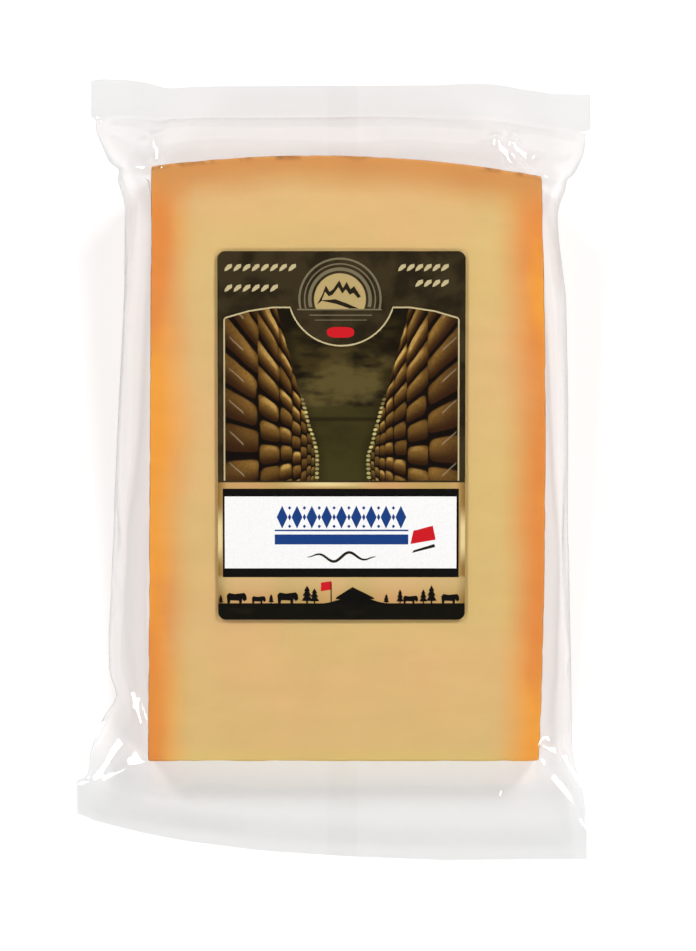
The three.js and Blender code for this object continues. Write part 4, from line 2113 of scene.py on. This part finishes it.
    def _cow(self, across: float, size: float) -> bpy.types.Object:
        """Returns a grazing cow."""
        return self._patch([(across + size * x, self.pasture + size * y) for x, y in self.cow], 1)

    def _skyline(self) -> list[bpy.types.Object]:
        """Returns the foot's cut-out scene of firs, grazing cattle and a hut on a rise.

        Returns:
            Its printed shapes.
        """
        return [
            self._patch(self.hill, 1),
            self._patch(self.roof, 1),
            *(self._fir(*fir) for fir in self.firs),
            *(self._cow(*cow) for cow in self.cows),
            self._box(*self.flagpole, 1),
        ]

    def _flourish(self) -> list[bpy.types.Object]:
        """Returns the wavy line under the frieze, and the seal's shadow.

        Returns:
            The printed line and shadow.
        """
        across = np.linspace(-self.flourish_reach, self.flourish_reach, 60)
        swing = self.flourish_height * (1 - (across / (self.flourish_reach + 0.3)) ** 2)
        up = self.flourish_up + swing * np.sin(across * self.flourish_rate)
        line = self._stroke(list(zip(across, up)), self.flourish_width, 3, taper=True)
        return [line, self._patch(self.seal_shadow, 3)]

    def _join(
        self, name: str, layers: Sequence[bpy.types.Object], ink: bpy.types.Material
    ) -> bpy.types.Object:
        """Joins the layers of one ink into one piece and dresses it.

        Args:
            name: The piece's name.
            layers: Its layers.
            ink: Its material.

        Returns:
            The piece.
        """
        deselect_all()
        for layer in layers:
            layer.select_set(True)
        bpy.context.view_layer.objects.active = layers[0]
        if len(layers) > 1:
            bpy.ops.object.join()
        piece = bpy.context.object
        settle(piece, name)
        piece.data.materials.clear()
        piece.data.materials.append(ink)
        return piece

    def build(self) -> list[bpy.types.Object]:
        """Returns the printed pieces, from the lowest up.

        Returns:
            The pieces, dressed.
        """
        arch = self._arch()
        disc = self._medallion_arc(self.disc_radius, self.flat_cut + 0.1)
        picture, rings = self._patch(arch, 0), self._rings()
        rows = [
            ("label_picture", [picture], CellarFinish(self.plane)),
            ("label_frame_line", [self._stroke(arch, self.frame_width, 1)], Ink.CREAM),
            ("label_medallion_rings", rings, Ink.GREY),
            ("label_medallion_disc", [self._patch(disc, 1)], Ink.GOLD),
            ("label_medallion_peaks", self._mountains(), Ink.DARK),
            ("label_ornaments", self._leaves(), Ink.CREAM),
            ("label_lozenge", [self._oval(self.oval_middle, *self.oval_size, 1)], Ink.RED),
            ("label_black_panel", [self._box(*self.black_panel, 1)], Ink.BLACK),
            ("label_white_panel", [self._box(*self.white_panel, 2)], Ink.WHITE),
            ("label_frieze", self._frieze(), Ink.BLUE),
            ("label_flourish", self._flourish(), Ink.DARK),
            ("label_seal", [self._patch(self.seal, 3)], Ink.RED),
            ("label_skyline", self._skyline(), Ink.BLACK),
            ("label_flag", [self._patch(self.flag, 1)], Ink.RED),
        ]
        return [self._join(name, layers, finish.build()) for name, layers, finish in rows]


def main() -> None:
    """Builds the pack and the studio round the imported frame."""
    logging.basicConfig(level=logging.INFO, format="%(name)s: %(message)s")
    shape = WedgeShape(*(Vector(corner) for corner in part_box("cheese_wedge")))
    studio = Studio(Vector((4.05, -1.6, 20)) * MM)
    studio.build()

    cheese = CheeseWedge(shape).build()
    settle(cheese, "cheese_portion")
    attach(cheese, "root")
    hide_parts("cheese_wedge")
    LOG.info("cheese: %d faces", len(cheese.data.polygons))

    wrapper = FilmWrapper(shape, tuple(Vector(corner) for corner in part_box("film_wrapper")), studio)
    film, fin = wrapper.build()
    for piece, name in ((film, "film_tube"), (fin, "film_back_fin")):
        settle(piece, name)
        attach(piece, "root")
        LOG.info("%s: %d faces", name, len(piece.data.polygons))
    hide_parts("film_wrapper")

    plane = LabelPlane(*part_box("front_label"), tilt=shape.tilt)
    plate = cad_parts["front_label"]
    for slot in plate.material_slots:
        slot.material = StockFinish(plane).build()
    for layer in FrontLabel(plane).build():
        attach(layer, "root")
        LOG.info("%s: %d faces", layer.name, len(layer.data.polygons))


if __name__ == "__main__":
    main()
